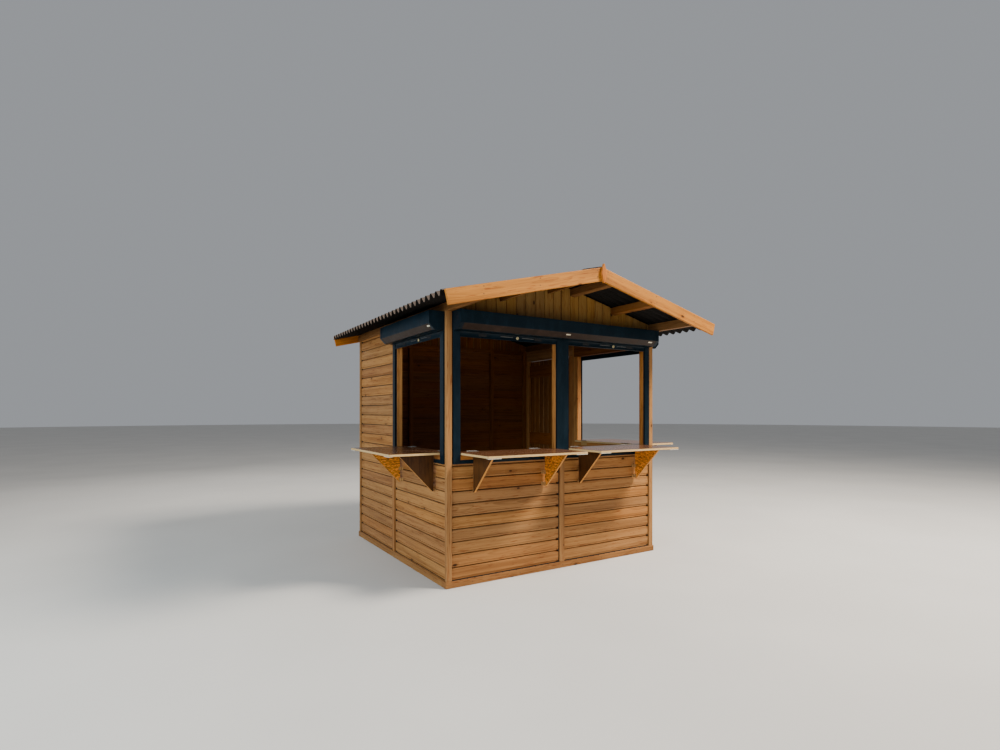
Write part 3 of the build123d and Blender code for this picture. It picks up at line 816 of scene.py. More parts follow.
def roof_felt(name, colour):
    """Bitumen sheet: black fibre board with a mineral grain and dusty hollows."""
    made, wiring, shader = new_material(name, Specular_IOR_Level=0.12)
    place = wiring.place()
    mineral = wiring.noise(place, scale=900.0, detail=3.0, roughness=0.7)
    fibre = wiring.stretched(place, (40.0, 260.0, 40.0), detail=3.0)
    dust = wiring.noise(place, scale=5.0, detail=5.0, roughness=0.6)
    tone = wiring.graded(colour, mineral, 0.35, 0.7, 1.0, 2.2)
    tone = wiring.mixed(wiring.ranged(dust, 0.45, 0.8, 0.0, 0.5), tone, shade(colour, 1.5))
    roughness = wiring.ranged(mineral, 0.3, 0.7, 0.62, 0.9)
    height = wiring.plus(mineral, wiring.times(fibre, 0.5))
    connect(wiring, shader, tone, roughness, wiring.bump(height, 0.4, 0.0007))
    return made


def studio_floor(name, colour):
    """Pale screed, almost even."""
    made, wiring, shader = new_material(name, Specular_IOR_Level=0.2)
    place = wiring.place()
    cloud = wiring.noise(place, scale=0.7, detail=4.0)
    fine = wiring.noise(place, scale=90.0, detail=3.0)
    tone = wiring.graded(colour, cloud, 0.3, 0.7, 0.97, 1.03)
    roughness = wiring.ranged(fine, 0.3, 0.7, 0.75, 0.9)
    connect(wiring, shader, tone, roughness, wiring.bump(fine, 0.05, 0.001))
    return made


# The finishes by name, filled by the first operator
finishes = {}

# Metals: name of the material, colour, metallic share and roughness
METALS = {
    "zinc": ("zinc plate", (0.20, 0.185, 0.165), 0.6, 0.5),
    "yellow_zinc": ("yellow zinc", (0.46, 0.25, 0.080), 0.05, 0.5),
    "nail": ("dark nail", (0.060, 0.045, 0.035), 0.5, 0.5),
    "steel": ("dark steel", (0.20, 0.20, 0.20), 0.8, 0.4),
    "pale_metal": ("pale plate", (0.80, 0.76, 0.66), 0.25, 0.42),
    "brass": ("lock brass", (0.80, 0.66, 0.36), 0.8, 0.28),
}


def make_pines(colours):
    """The timber finishes, each from its light and its dark wood."""
    light, dark, knot = colours.board_light, colours.board_dark, colours.knot
    pines = {
        "cladding": ("cladding pine", light, dark, {}),
        # Tongues seen in the joints: the cladding's wood darkened as painted shade of the gaps
        "tongue": ("tongue pine with painted shade", shade(light, 0.36), shade(dark, 0.34), {}),
        "post": ("post pine", shade(light, 0.90), dark, {"knots": 0.16, "streaks": 0.35}),
        # Base rails: the cladding's wood darkened as painted shade
        "base": ("base pine with painted shade", shade(light, 0.78), shade(dark, 0.85), {"knots": 0.2}),
        # Gable boards: their own greener tone, and darker as painted shade under the roof's overhang
        "gable": (
            "gable pine with painted shade", (0.375, 0.212, 0.060), (0.20, 0.092, 0.021),
            {"warm": (1.0, 0.94, 0.80), "knots": 0.5, "streaks": 0.3}),
        "inside": (
            "inside pine", (0.53, 0.235, 0.072), dark, {"warm": (1.0, 0.86, 0.66), "knots": 0.35}),
        # Faces inside the stall: darkened as painted shade of the interior
        "inner_face": (
            "inner pine with painted shade", (0.25, 0.088, 0.017), (0.10, 0.028, 0.005), {"warm": (1.0, 0.84, 0.7)}),
        "roof_timber": (
            "roof pine", colours.roof_light, colours.roof_dark,
            {"warm": (1.0, 0.84, 0.66), "knots": 0.25, "streaks": 0.6}),
        # Purlins: their wood darkened as painted shade under the roof
        "purlin": (
            "purlin pine with painted shade", (0.27, 0.124, 0.038), (0.13, 0.052, 0.012), {"knots": 0.2, "streaks": 0.4}),
    }
    for key, (name, light_wood, dark_wood, options) in pines.items():
        finishes[key] = timber(name, light_wood, dark_wood, knot, **options)


def make_finishes(colours):
    """All the finishes of the stall, by name."""
    make_pines(colours)
    for key, (name, colour, metallic, smooth) in METALS.items():
        finishes[key] = galvanised(name, colour, metallic, smooth)
    finishes["paint"] = paint("night blue enamel", colours.paint)
    # Painted reflection: the ground's brown on the boxes' slanted undersides
    finishes["underside_reflection"] = paint("enamel with painted brown reflection", colours.underside_reflection, smooth=0.38)
    finishes["film"] = film_board("shelf film", colours.film)
    finishes["bracket_film"] = film_board(
        "bracket film", (0.085, 0.031, 0.007), smooth=0.48, lines=0.7, shine=0.2)
    finishes["ply_edge"] = layered_edge("plywood edge", colours.ply)
    finishes["strand"] = strand_board("strand board", colours.strand)
    finishes["strand_edge"] = layered_edge("strand board edge", (0.62, 0.27, 0.055))
    finishes["cream"] = plain_plastic("cream plastic", (0.78, 0.70, 0.52))
    finishes["rubber"] = plain_plastic("black rubber", (0.010, 0.010, 0.012), smooth=0.6)
    finishes["bitumen"] = roof_felt("black bitumen", (0.0035, 0.0028, 0.0024))
    # A lighter copy of the bitumen for the sheets' upper faces: painted sunlight
    finishes["sunlit"] = roof_felt("bitumen with painted sunlight", (0.060, 0.045, 0.036))


# Finishing a piece

def chosen(*names):
    """The finishes of a piece, in the order of the numbers that its faces have."""
    return [finishes[name] for name in names]


def settle(piece, body=CABIN, stands_for=()):
    """Lets a piece ride on its body and hides the nodes that it stands for."""
    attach(piece, body)
    if stands_for:
        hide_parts(*stands_for)
    return piece


def timber_piece(name, names, finish, edge, seed, along=None):
    """CAD timbers with eased edges and grain of their own."""
    piece = Shape().take_nodes(*names).ease(edge).done(name, chosen(finish))
    mark_grain(piece, seed, along)
    return settle(piece, stands_for=names)


class STALL_OT_finishes(bpy.types.Operator):
    """Makes every finish of the stall"""

    bl_idname = "stall.finishes"
    bl_label = "Finishes"

    def execute(self, context):
        make_finishes(context.scene.stall_colours)
        return {"FINISHED"}


# Cladding: the boards' gaps and laps, and the black strips of painted shade at the base rail and the
# posts, with depths along v

BOARD_END_GAP = 0.0008
BOARD_NOTCH = 0.005
TONGUE_THICKNESS = 0.005
TONGUE_LAP = 0.003
STRIP_Z = (RAIL_TOP + 0.0002, RAIL_TOP + 0.0022)
STRIP_BACK = BOARD_FACE + 0.012
FRONT_STRIP = 0.006
SIDE_STRIP = BOARD_FACE + 0.002
SHADE_STRIP_V = (BOARD_FACE + 0.005, BOARD_BACK - 0.001)
TAB_WIDTH = 0.006
TAB_FRONT = -0.004


def bays():
    """Each boarded bay: its node, wall, ends and top."""
    low_top = boards_high.z
    front_left = wall_span("front_boards_left", "front")
    front_right = wall_span("front_boards_right", "front")
    side_front = wall_span("left_boards_front", "left")
    side_rear = wall_span("left_boards_rear", "left")
    return (
        ("front_boards_left", "front", front_left, low_top),
        ("front_boards_right", "front", front_right, low_top),
        ("left_boards_front", "left", side_front, low_top),
        ("left_boards_rear", "left", side_rear, WALL_TOP),
        ("right_boards_front", "right", side_front, low_top),
        ("rear_boards", "rear", front_left, WALL_TOP),
        ("rear_boards", "rear", front_right, WALL_TOP),
    )


def board_rings(sizes, start, end):
    """One board with an eased top, a groove above its lower lip and notched ends."""
    lip, body = sizes.lip, sizes.pitch - sizes.gap
    profile = (
        (0.003, 0.0), (0.0012, lip - 0.0015), (0.005, lip - 0.0005), (0.005, lip + 0.0015),
        (0.0, lip + 0.0025), (0.0, body - 0.0035), (0.001, body - 0.001), (0.0035, body),
    )
    face = [(BOARD_FACE + depth, z) for depth, z in profile]
    outline = [(BOARD_BACK, 0.0), *face, (BOARD_BACK, body)]
    notched = [(v, min(max(z, BOARD_NOTCH), body - BOARD_NOTCH)) for v, z in outline]
    inner_start = start + sizes.near_pocket
    inner_end = end - sizes.pocket
    stations = (
        (start, notched), (inner_start, notched), (inner_start, outline),
        (inner_end, outline), (inner_end, notched), (end, notched),
    )
    return [[Vector((u, v, z)) for v, z in section] for u, section in stations]


class STALL_OT_cladding(bpy.types.Operator):
    """Boards every bay of the walls with grooved boards, their tongues, and black strips of painted shade
    at the base rail and the posts
    """

    bl_idname = "stall.cladding"
    bl_label = "Cladding"

    def execute(self, context):
        sizes = context.scene.stall_boards
        tree = row_tree()
        shapes = {}
        for number, (node, wall, span, top) in enumerate(bays()):
            start, end = span[0] + BOARD_END_GAP, span[1] - BOARD_END_GAP
            # The boards stop short of the post; a black strip fills the gap as painted shade
            shade_strip = sizes.shade_strip if span[0] < WIDTH / 4 else sizes.corner_shade_strip
            bay = self.boards(sizes, tree, 11 * number, start, end - shade_strip, top)
            self.shade_strips(bay, sizes, wall, span, end - shade_strip, top)
            bay.cut_above(top).place(wall_place(wall))
            shapes.setdefault(node, Shape()).take(bay.done("bay", []))
        for number, (node, shape) in enumerate(shapes.items()):
            # Finish 2, black rubber, stands as painted shade in the gaps; finish 3 is the painted shade
            # inside
            piece = shape.done(node + "_cladding", chosen("cladding", "tongue", "rubber", "inner_face"))
            mark_grain(piece, 100 + number)
            settle(piece, stands_for=[node])
        return {"FINISHED"}

    def boards(self, sizes, tree, seed, start, end, top):
        """The boards of a bay and the tongues between them."""
        count = ceil((top - sizes.first) / sizes.pitch)
        board = Shape()
        board.skin(board_rings(sizes, start, end))
        tongue = Shape()
        # The tongue takes the darkened tongue finish: painted shade in the joint
        tongue_face = BOARD_FACE + sizes.tongue_depth
        tongue.box(
            (start - BOARD_END_GAP + sizes.near_pocket, end - sizes.pocket),
            (tongue_face, tongue_face + TONGUE_THICKNESS),
            (sizes.pitch - sizes.gap - TONGUE_LAP, sizes.pitch + TONGUE_LAP))
        gathered = Shape()
        for part, (pattern, finish) in enumerate(((board, "cladding"), (tongue, "tongue"))):
            source = pattern.done("pattern", chosen(finish))
            settings = {
                "Piece": source, "Count": count - part, "Start": (0.0, 0.0, sizes.first),
                "Step": (0.0, 0.0, sizes.pitch), "Slack": (0.0, sizes.slack, sizes.slack * (1 - part)),
                "Turn": (0.0, 0.0, 0.0), "Seed": seed + part, "Finish": finishes[finish],
            }
            gathered.take(grow("boards", tree, settings), finish=part)
            discard(source)
        # Board faces turned into the stall take the painted shade of the interior
        return gathered.refinish(3, lambda normal: normal.y > 0.9)

    def shade_strips(self, bay, sizes, wall, span, board_end, top):
        """Black strips of painted shade: in the joint on the base rail, with its tabs on the front wall,
        and in the gap at the boards' end.
        """
        start, end = span[0] + BOARD_END_GAP, span[1] - BOARD_END_GAP
        strip_front = FRONT_STRIP if wall == "front" else SIDE_STRIP
        bay.box((start, end), (strip_front, STRIP_BACK), STRIP_Z, finish=2)
        bay.box((board_end, end), SHADE_STRIP_V, (STRIP_Z[1], top), finish=2)
        if wall == "front":
            for index in range(1, int((span[1] - span[0]) / sizes.tab_pitch)):
                tab = span[0] + index * sizes.tab_pitch
                bay.box((tab, tab + TAB_WIDTH), (TAB_FRONT, strip_front), STRIP_Z, finish=2)


class STALL_OT_timbers(bpy.types.Operator):
    """Dresses the posts, rails, studs, headers and sills"""

    bl_idname = "stall.timbers"
    bl_label = "Posts and rails"

    def execute(self, context):
        edge = context.scene.stall_boards.edge
        inner_edge = edge * 0.6
        timber_piece("corner_post_timber", ["corner_posts"], "post", edge, 201)
        timber_piece("centre_post_timber", ["centre_posts"], "post", edge, 202)
        timber_piece("base_rail_timber", ["base_rails"], "base", edge, 203)
        for seed, node in enumerate(("wall_studs", "wall_rails", "headers", "jamb_posts", "hatch_sills")):
            # Studs, rails and headers inside take the painted shade of the interior; jambs and sills do
            # not
            finish = "inside" if node in ("jamb_posts", "hatch_sills") else "inner_face"
            timber_piece(node + "_timber", [node], finish, inner_edge, 210 + seed)
        return {"FINISHED"}


# Gables: the joint left of the ridge, half the joint under it, and the narrowest board

LEFT_JOINT = 0.0873
HALF_RIDGE_JOINT = 0.0035
NARROWEST_BOARD = 0.012
LEFT_BOARDS = 10
GABLE_REACH = HALF_WIDTH - PURLIN_WIDTH
GABLE_CLEARANCE = 0.001
GABLE_EDGE = 0.0025
LAST_TONGUE = GABLE_REACH - 0.02


def gable_outline(left, right):
    """The (x, z) outline of one upright gable board, cut around the purlins."""
    notches = []
    for inner in (RIDGE_PURLIN, MIDDLE_PURLIN):
        notches += [(inner, inner + PURLIN_WIDTH), (-inner - PURLIN_WIDTH, -inner)]
    stops = {left, right}
    for low, high in notches:
        stops.update(x for x in (low, high) if left < x < right)
    top = []
    stops = sorted(stops)
    for start, end in zip(stops, stops[1:]):
        middle = (start + end) / 2
        notched = any(low < middle < high for low, high in notches)
        drop = GABLE_CLEARANCE + (PURLIN_DROP if notched else 0.0)
        for x in (start, end):
            point = (x, rafter_line(x) - drop)
            if not top or top[-1] != point:
                top.append(point)
    foot = WALL_TOP + GABLE_CLEARANCE / 2
    return [(left, foot), (right, foot)] + top[::-1]


def gable_edges(width):
    """The edges of the upright boards left and right of the ridge."""
    left = [-LEFT_JOINT - index * width for index in range(LEFT_BOARDS, -1, -1)]
    right_boards = ceil((GABLE_REACH - NARROWEST_BOARD - HALF_RIDGE_JOINT) / width)
    right = [HALF_RIDGE_JOINT + index * width for index in range(right_boards)]
    return left + [-HALF_RIDGE_JOINT], right + [GABLE_REACH]


class STALL_OT_gables(bpy.types.Operator):
    """Closes both gables with upright boards"""

    bl_idname = "stall.gables"
    bl_label = "Gables"

    def execute(self, context):
        for number, node in enumerate(("front_gable", "rear_gable")):
            shape = self.boards(node, context.scene.stall_boards)
            piece = shape.done(node + "_boards", chosen("gable", "tongue", "inner_face"))
            mark_grain(piece, 300 + number, along=(0, 0, 1))
            settle(piece, stands_for=[node])
        return {"FINISHED"}

    def boards(self, node, sizes):
        """The boards of one gable, with a tongue behind each joint."""
        low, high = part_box(node)
        half_joint = sizes.gable_joint / 2
        third = (high.y - low.y) / 3
        shape = Shape()
        joints = [0.0]
        for edges in gable_edges(sizes.gable_width):
            joints += edges[1:-1]
            for left, right in zip(edges, edges[1:]):
                outline = gable_outline(max(left, -GABLE_REACH) + half_joint, right - half_joint)
                shape.prism([(x, low.y, z) for x, z in outline], (0, high.y - low.y, 0))
        shape.ease(GABLE_EDGE, segments=1, sharp=60)
        # The tongues behind the gable joints take the same painted shade
        for x in joints:
            if abs(x) < LAST_TONGUE:
                outline = gable_outline(x - sizes.cover, x + sizes.cover)
                shape.prism([(x, low.y + third, z) for x, z in outline], (0, third, 0), finish=1)
        # Gable faces turned into the stall take the painted shade of the interior
        inwards = -1 if low.y > 0 else 1
        return shape.refinish(2, lambda normal: normal.y * inwards > 0.9, only=0)


# Roof: the rows of nails, from the ridge outwards, and the profile of a nail's cap

NAIL_ROWS = (0.16, 0.60, HALF_WIDTH - 0.02)
NAIL_STEP = 3
CREST = 0.25
CAP_SINK = 0.003
CAP_PROFILE = ((0, 0.013), (0.004, 0.013), (0.007, 0.010), (0.010, 0.005), (0.011, 0.002))
SHEET_END = 0.0005


class STALL_OT_roof(bpy.types.Operator):
    """Dresses purlins, bargeboards and finials, and finishes the roof sheets with capped nails"""

    bl_idname = "stall.roof"
    bl_label = "Roof"

    def execute(self, context):
        edge = context.scene.stall_boards.edge
        timber_piece("purlin_timber", ["purlins"], "purlin", edge, 401)
        timber_piece("bargeboard_timber", ["bargeboards"], "roof_timber", edge, 402)
        timber_piece(
            "finial_timber", ["finials"], "roof_timber", edge, 403, along=(0, 0, 1))
        for node in ("roof_sheet_left", "roof_sheet_right", "ridge_cap"):
            self.sheet(node)
        self.nail_caps()
        return {"FINISHED"}

    def sheet(self, node):
        """A sheet from the CAD surface: painted sunlight on top, in a lighter copy of the bitumen, black
        underneath and at its ends.
        """
        shape = Shape().take_nodes(node).refinish(1, lambda normal: normal.z > 0.45)
        piece = shape.done(node + "_felt", chosen("bitumen", "sunlit"), smooth=20)
        settle(piece, stands_for=[node])

    def nail_caps(self):
        """Capped nails on every third crest, over each purlin."""
        length = ROOF_REAR - ROOF_FRONT - 2 * SHEET_END
        waves = round(length / WAVE_PITCH_AIM)
        pitch = length / waves
        cap = Shape()
        cap.turned((0, 0, -CAP_SINK), (0, 0, 1), CAP_PROFILE, sides=12)
        pattern = cap.done("pattern", chosen("bitumen"), smooth=40)
        points = []
        for across in NAIL_ROWS:
            for crest in range(1, waves, NAIL_STEP):
                place = ROOF_FRONT + SHEET_END + (crest + CREST) * pitch
                points.append((across / cos(PITCH), place, WAVE_HEIGHT))
        tree = scatter_tree()
        settings = {"Piece": pattern, "Turn": (0.05, 0.05, 3.1), "Finish": finishes["bitumen"]}
        gathered = Shape()
        for number, side in enumerate((-1, 1)):
            made = grow("caps", tree, {**settings, "Seed": 40 + number}, points)
            onto_ridge = Matrix.Scale(side, 4, (1, 0, 0)) @ Matrix.Translation((0, 0, RIDGE_LINE))
            caps = Shape().take(made).place(onto_ridge @ Matrix.Rotation(PITCH, 4, "Y"))
            gathered.take(caps.done("caps", chosen("bitumen")))
        discard(pattern)
        piece = gathered.done("roof_nail_caps", chosen("bitumen"), smooth=40)
        settle(piece)


# Shutter boxes: their chamfer, their end plates and the clips under them

BOX_CHAMFER = 0.044
BOX_TOP_GAP = 0.0002
END_PLATE = 0.0025
BOX_EDGE = 0.0012
RIM_LAP = 0.0005
CLIPS = {"front": (1.08, 2.05), "left": (0.085,), "right": (0.085,)}
CLIP_LENGTH = 0.046
HALF_CLIP = 0.0065
CLIP_DOWN = 0.022
CLIP_THICKNESS = 0.003


def box_section(inset):
    """The (v, z) section of a shutter box, drawn in by an inset."""
    low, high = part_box("front_shutter_box")
    out = low.y - Y_FRONT + inset
    back = high.y - Y_FRONT
    turn = inset * 0.414
    return [
        (back, low.z + inset),
        (out + BOX_CHAMFER - inset + turn, low.z + inset),
        (out, low.z + BOX_CHAMFER + turn),
        (out, high.z - BOX_TOP_GAP),
        (back, high.z - BOX_TOP_GAP),
    ]


class STALL_OT_shutter_boxes(bpy.types.Operator):
    """Makes the shutter boxes with their end plates, rims and clips"""

    bl_idname = "stall.shutter_boxes"
    bl_label = "Shutter boxes"

    def execute(self, context):
        sizes = context.scene.stall_shutters
        for wall, clips in CLIPS.items():
            start, end = wall_span(wall + "_shutter_box", wall)
            shape = Shape()
            shape.run(box_section(sizes.skin), start + END_PLATE, end - END_PLATE)
            # Slanted undersides take the brown finish, a painted reflection of the ground
            shape.refinish(1, lambda normal: abs(normal.y) > 0.2 and normal.z < -0.2)
            for near, far in ((start, start + END_PLATE), (end - END_PLATE, end)):
                shape.run(box_section(0.0), near, far)
            shape.ease(BOX_EDGE, segments=1)
            self.rims(shape, sizes, start, end)
            for centre in clips:
                self.clip(shape, centre)
            shape.place(wall_place(wall))
            piece = shape.done(wall + "_shutter_case", chosen("paint", "underside_reflection", "cream"))
            settle(piece, stands_for=[wall + "_shutter_box"])
        return {"FINISHED"}

    def rims(self, shape, sizes, start, end):
        """A folded rim of each end plate, laid over the face and the slanted underside."""
        outer = box_section(0.0)
        inner = box_section(sizes.skin + RIM_LAP)
        strip = outer[1:4] + inner[3:0:-1]
        for near, far in ((start, start + sizes.rim), (end - sizes.rim, end)):
            shape.run(strip, near, far)

    def clip(self, shape, centre):
        """A small clip on the slanted underside."""
        corner_v, corner_z = box_section(0.0)[2]
        lean = cos(pi / 4)
        thick = CLIP_THICKNESS
        section = []
        for along, lift in ((-HALF_CLIP, thick), (HALF_CLIP, thick), (HALF_CLIP, 0.0), (-HALF_CLIP, 0.0)):
            step = CLIP_DOWN + along
            section.append((corner_v + (step + lift) * lean, corner_z - (step - lift) * lean))
        shape.run(section, centre - CLIP_LENGTH / 2, centre + CLIP_LENGTH / 2, finish=2)


# Guide rails: their sizes, and the brush strips in their slots

RAIL_WIDTH = 0.059
RAIL_EDGE = 0.0014
TRIM_EDGE = 0.002
RAIL_END_GAP = 0.0003
RAIL_JOINT = 0.0002
BRUSH_THICKNESS = 0.0025
BRUSH_INSET = (0.003, 0.010)


class STALL_OT_guide_rails(bpy.types.Operator):
    """Makes the slotted guide rails and the painted trims under the hatches"""

    bl_idname = "stall.guide_rails"
    bl_label = "Guide rails"

    def execute(self, context):
        sizes = context.scene.stall_shutters
        gathered = Shape()
        for name, wall, start, end in hatches():
            shape = Shape()
            for edge, sign in ((start, -1), (end, 1)):
                width = RAIL_WIDTH
                if name == "front_left" and sign > 0:
                    width = HALF_WIDTH - end
                elif name == "front_right" and sign < 0:
                    width = start - HALF_WIDTH
                self.rail(shape, edge, sign, width, sizes)
            shape.ease(RAIL_EDGE).place(wall_place(wall))
            gathered.take(shape.done("rails", chosen("paint", "rubber")))
        piece = gathered.done("slotted_guide_rails", chosen("paint", "rubber"))
        settle(piece, stands_for=["guide_rails"])
        trim = Shape().take_nodes("sill_trims").ease(TRIM_EDGE)
        trim = trim.done("sill_trim_strips", chosen("paint"))
        settle(trim, stands_for=["sill_trims"])
        return {"FINISHED"}

    def rail(self, shape, edge, sign, width, sizes):
        """A rail with its slot open towards the hatch, and brush strips in the slot."""
        low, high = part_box("guide_rails")
        z = (low.z + RAIL_END_GAP, high.z - RAIL_END_GAP)
        proud, back = low.y - Y_FRONT, BOARD_FACE
        middle = (proud + back) / 2
        near_side, far_side = middle - sizes.groove / 2, middle + sizes.groove / 2
        deep = edge + sign * sizes.groove_depth
        far = edge + sign * (width - RAIL_JOINT)
        outline = [
            (edge, proud), (far, proud), (far, back), (edge, back),
            (edge, far_side), (deep, far_side), (deep, near_side), (edge, near_side),
        ]
        shape.prism([(u, v, z[0]) for u, v in outline], (0, 0, z[1] - z[0]))
        ends = sorted(edge + sign * inset for inset in BRUSH_INSET)
        for v in ((near_side, near_side + BRUSH_THICKNESS), (far_side - BRUSH_THICKNESS, far_side)):
            shape.box(ends, v, z, finish=1)


# End slats: depths are along v, lengths along u from the lock or from the slat's middle

SLAT_FRONT = -0.006
SLAT_BACK = 0.006
SLAT_WEB = SLAT_FRONT + 0.003
SLAT_LIP = 0.008
SLAT_EDGE = 0.0008
SLAT_END_GAP = 0.001
ROD_START = 0.045
ROD_LIFT = 0.004
ROD_V = SLAT_FRONT + 0.0005
ROD_PROFILE = ((0, 0.0018), (0.001, 0.0024), (0.115, 0.0024), (0.116, 0.0018))
PAD_ENDS = (0.230, 0.300)
PAD_V = (SLAT_FRONT + 0.0004, SLAT_FRONT + 0.0035)
HALF_PAD = 0.010
LOCK_V = SLAT_FRONT + 0.004
KEY_SLOT = (0.001, 0.005)
KEY_SLOT_V = (SLAT_FRONT - 0.0035, SLAT_FRONT - 0.002)


class STALL_OT_end_slats(bpy.types.Operator):
    """Makes the raised shutters' end slats with lock, lifting pads and bolt rods"""

    bl_idname = "stall.end_slats"
    bl_label = "End slats"

    def execute(self, context):
        sizes = context.scene.stall_shutters
        low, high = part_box("shutter_end_slats")
        middle_z = (low.z + high.z) / 2
        gathered = Shape()
        for name, wall, start, end in hatches():
            shape = Shape()
            self.slat(shape, start + SLAT_END_GAP, end - SLAT_END_GAP, low.z, high.z)
            shape.ease(SLAT_EDGE, segments=1)
            middle = (start + end) / 2
            lock = middle + sizes.lock_offset * (-1 if wall == "left" else 1)
            self.lock(shape, lock, middle_z, sizes.lock)
            for sign in (-1, 1):
                rod = (lock + sign * ROD_START, ROD_V, middle_z + ROD_LIFT)
                shape.turned(rod, (sign, 0, 0), ROD_PROFILE, sides=10, finish=3)
                pad = sorted(middle + sign * pad_end for pad_end in PAD_ENDS)
                shape.box(pad, PAD_V, (middle_z - HALF_PAD, middle_z + HALF_PAD), finish=2)
            shape.place(wall_place(wall))
            gathered.take(shape.done("slat", []))
        materials = chosen("paint", "brass", "rubber", "steel")
        piece = gathered.done("locking_end_slats", materials, smooth=32)
        settle(piece, stands_for=["shutter_end_slats"])
        return {"FINISHED"}

    def slat(self, shape, start, end, bottom, top):
        """The slat, with a lip along its lower and its upper edge."""
        front, web, lip = SLAT_FRONT, SLAT_WEB, SLAT_LIP
        section = [
            (SLAT_BACK, bottom), (front, bottom), (front, bottom + lip), (web, bottom + lip + 0.002),
            (web, top - lip), (front, top - lip + 0.002), (front, top), (SLAT_BACK, top),
        ]
        shape.run(section, start, end)

    def lock(self, shape, u, z, radius):
        """A round lock with a raised rim, a hollow face and a key slot."""
        profile = (
            (0, radius), (0.0065, radius), (0.0085, radius - 0.0015), (0.0085, radius * 0.62),
            (0.0070, radius * 0.55), (0.0070, 0.0015))
        shape.turned((u, LOCK_V, z), (0, -1, 0), profile, sides=28, finish=1)
        # The key slot: a black box on the lock's face, painted shade of the keyhole
        half_width, half_height = KEY_SLOT
        shape.box(
            (u - half_width, u + half_width), KEY_SLOT_V,
            (z - half_height, z + half_height), finish=2)


# Shelves: the ends of the board and its fittings, along v

SHELF_V = (-0.410, 0.1057)
SHELF_EDGE = 0.0012
SHELF_HINGE_INSET = 0.110
SHELF_PIVOT = 0.111
LEAF_LENGTH = 0.090
LEAF_EDGE = 0.066
LEAF_SCREW_V = 0.083
LEAF_THICKNESS = 0.002
LEAF_CORNER = 0.006
CATCH_LENGTH = 0.110
CATCH_V = (-0.410, -0.384)
CATCH_LIP_V = (-0.4096, -0.4078)
CATCH_TAB_V = (-0.407, -0.388)
CATCH_TAB_ENDS = (0.070, 0.106)
CATCH_SCREW_V = -0.396
CATCH_THICKNESS = 0.0016
CATCH_DEPTH = 0.004
SKIN = 0.0001


def screw_head(shape, place, direction, radius, finish=0):
    """A low round screw head."""
    profile = ((-0.0004, radius), (0.0004, radius), (0.0010, radius * 0.7), (0.0012, radius * 0.3))
    shape.turned(place, direction, profile, sides=10, finish=finish)


def knuckle_row(shape, start, direction, length, count, radius, gap):
    """The round knuckles of a hinge, one after the other along its pin."""
    step = length / count
    barrel = step - gap
    ease = 0.0005
    profile = ((0, radius - ease), (ease, radius), (barrel - ease, radius), (barrel, radius - ease))
    for index in range(count):
        place = Vector(start) + Vector(direction) * (index * step + gap / 2)
        shape.turned(place, direction, profile, sides=16)


class STALL_OT_shelves(bpy.types.Operator):
    """Makes the film-faced shelf boards with hinge leaves, knuckles and catches"""

    bl_idname = "stall.shelves"
    bl_label = "Shelves"

    def execute(self, context):
        for name, wall, start, end in hatches():
            node = name + "_shelf"
            run = (start + SHELF_SIDE_GAP, end - SHELF_SIDE_GAP)
            shape = Shape()
            shape.box(run, SHELF_V, (SHELF_BOTTOM, SHELF_TOP), finish=1)
            shape.ease(SHELF_EDGE).refinish(0, lambda normal: abs(normal.z) > 0.8)
            shape.place(wall_place(wall))
            board = shape.done(node + "_board", chosen("film", "ply_edge"))
            settle(board, body=node, stands_for=[node])
            metal = Shape()
            for edge, sign in ((run[0], 1), (run[1], -1)):
                self.hinge(metal, edge + sign * SHELF_HINGE_INSET, sign)
                self.catch(metal, edge, sign)
            metal.place(wall_place(wall))
            fittings = metal.done(node + "_fittings", chosen("zinc", "pale_metal"), smooth=32)
            settle(fittings, body=node)
        return {"FINISHED"}

    def hinge(self, shape, first, sign):
        """A leaf on the board with its knuckles behind the board's inner edge."""
        left, right = sorted((first, first + sign * LEAF_LENGTH))
        leaf_top = SHELF_TOP + LEAF_THICKNESS
        rounded = LEAF_EDGE + LEAF_CORNER
        outline = [
            (left, SHELF_PIVOT), (left, rounded), (left + LEAF_CORNER, LEAF_EDGE),
            (right - LEAF_CORNER, LEAF_EDGE), (right, rounded), (right, SHELF_PIVOT),
        ]
        shape.prism([(u, v, SHELF_TOP + SKIN) for u, v in outline], (0, 0, LEAF_THICKNESS - SKIN))
        pin = (left, SHELF_PIVOT, leaf_top)
        knuckle_row(shape, pin, (1, 0, 0), LEAF_LENGTH, 5, radius=0.0034, gap=0.0008)
        for share in (0.2, 0.5, 0.8):
            screw = (left + LEAF_LENGTH * share, LEAF_SCREW_V, leaf_top)
            screw_head(shape, screw, (0, 0, 1), radius=0.0042)

    def catch(self, shape, edge, sign):
        """A folded strip under the outer corner of the board, with its screws."""
        left, right = sorted((edge, edge + sign * CATCH_LENGTH))
        plate = SHELF_BOTTOM - CATCH_THICKNESS
        folded = (SHELF_BOTTOM - CATCH_DEPTH, SHELF_BOTTOM - SKIN)
        tab = sorted(edge + sign * tab_end for tab_end in CATCH_TAB_ENDS)
        shape.box((left, right), CATCH_V, (plate, SHELF_BOTTOM - SKIN), finish=1)
        shape.box((left, right), CATCH_LIP_V, folded, finish=1)
        shape.box(tab, CATCH_TAB_V, folded, finish=1)
        for share in (0.15, 0.5):
            screw = (left + CATCH_LENGTH * share, CATCH_SCREW_V, plate)
            screw_head(shape, screw, (0, 0, -1), radius=0.0036, finish=1)


# Brackets: places are along v from the wall's face, drops are down from the bracket's top

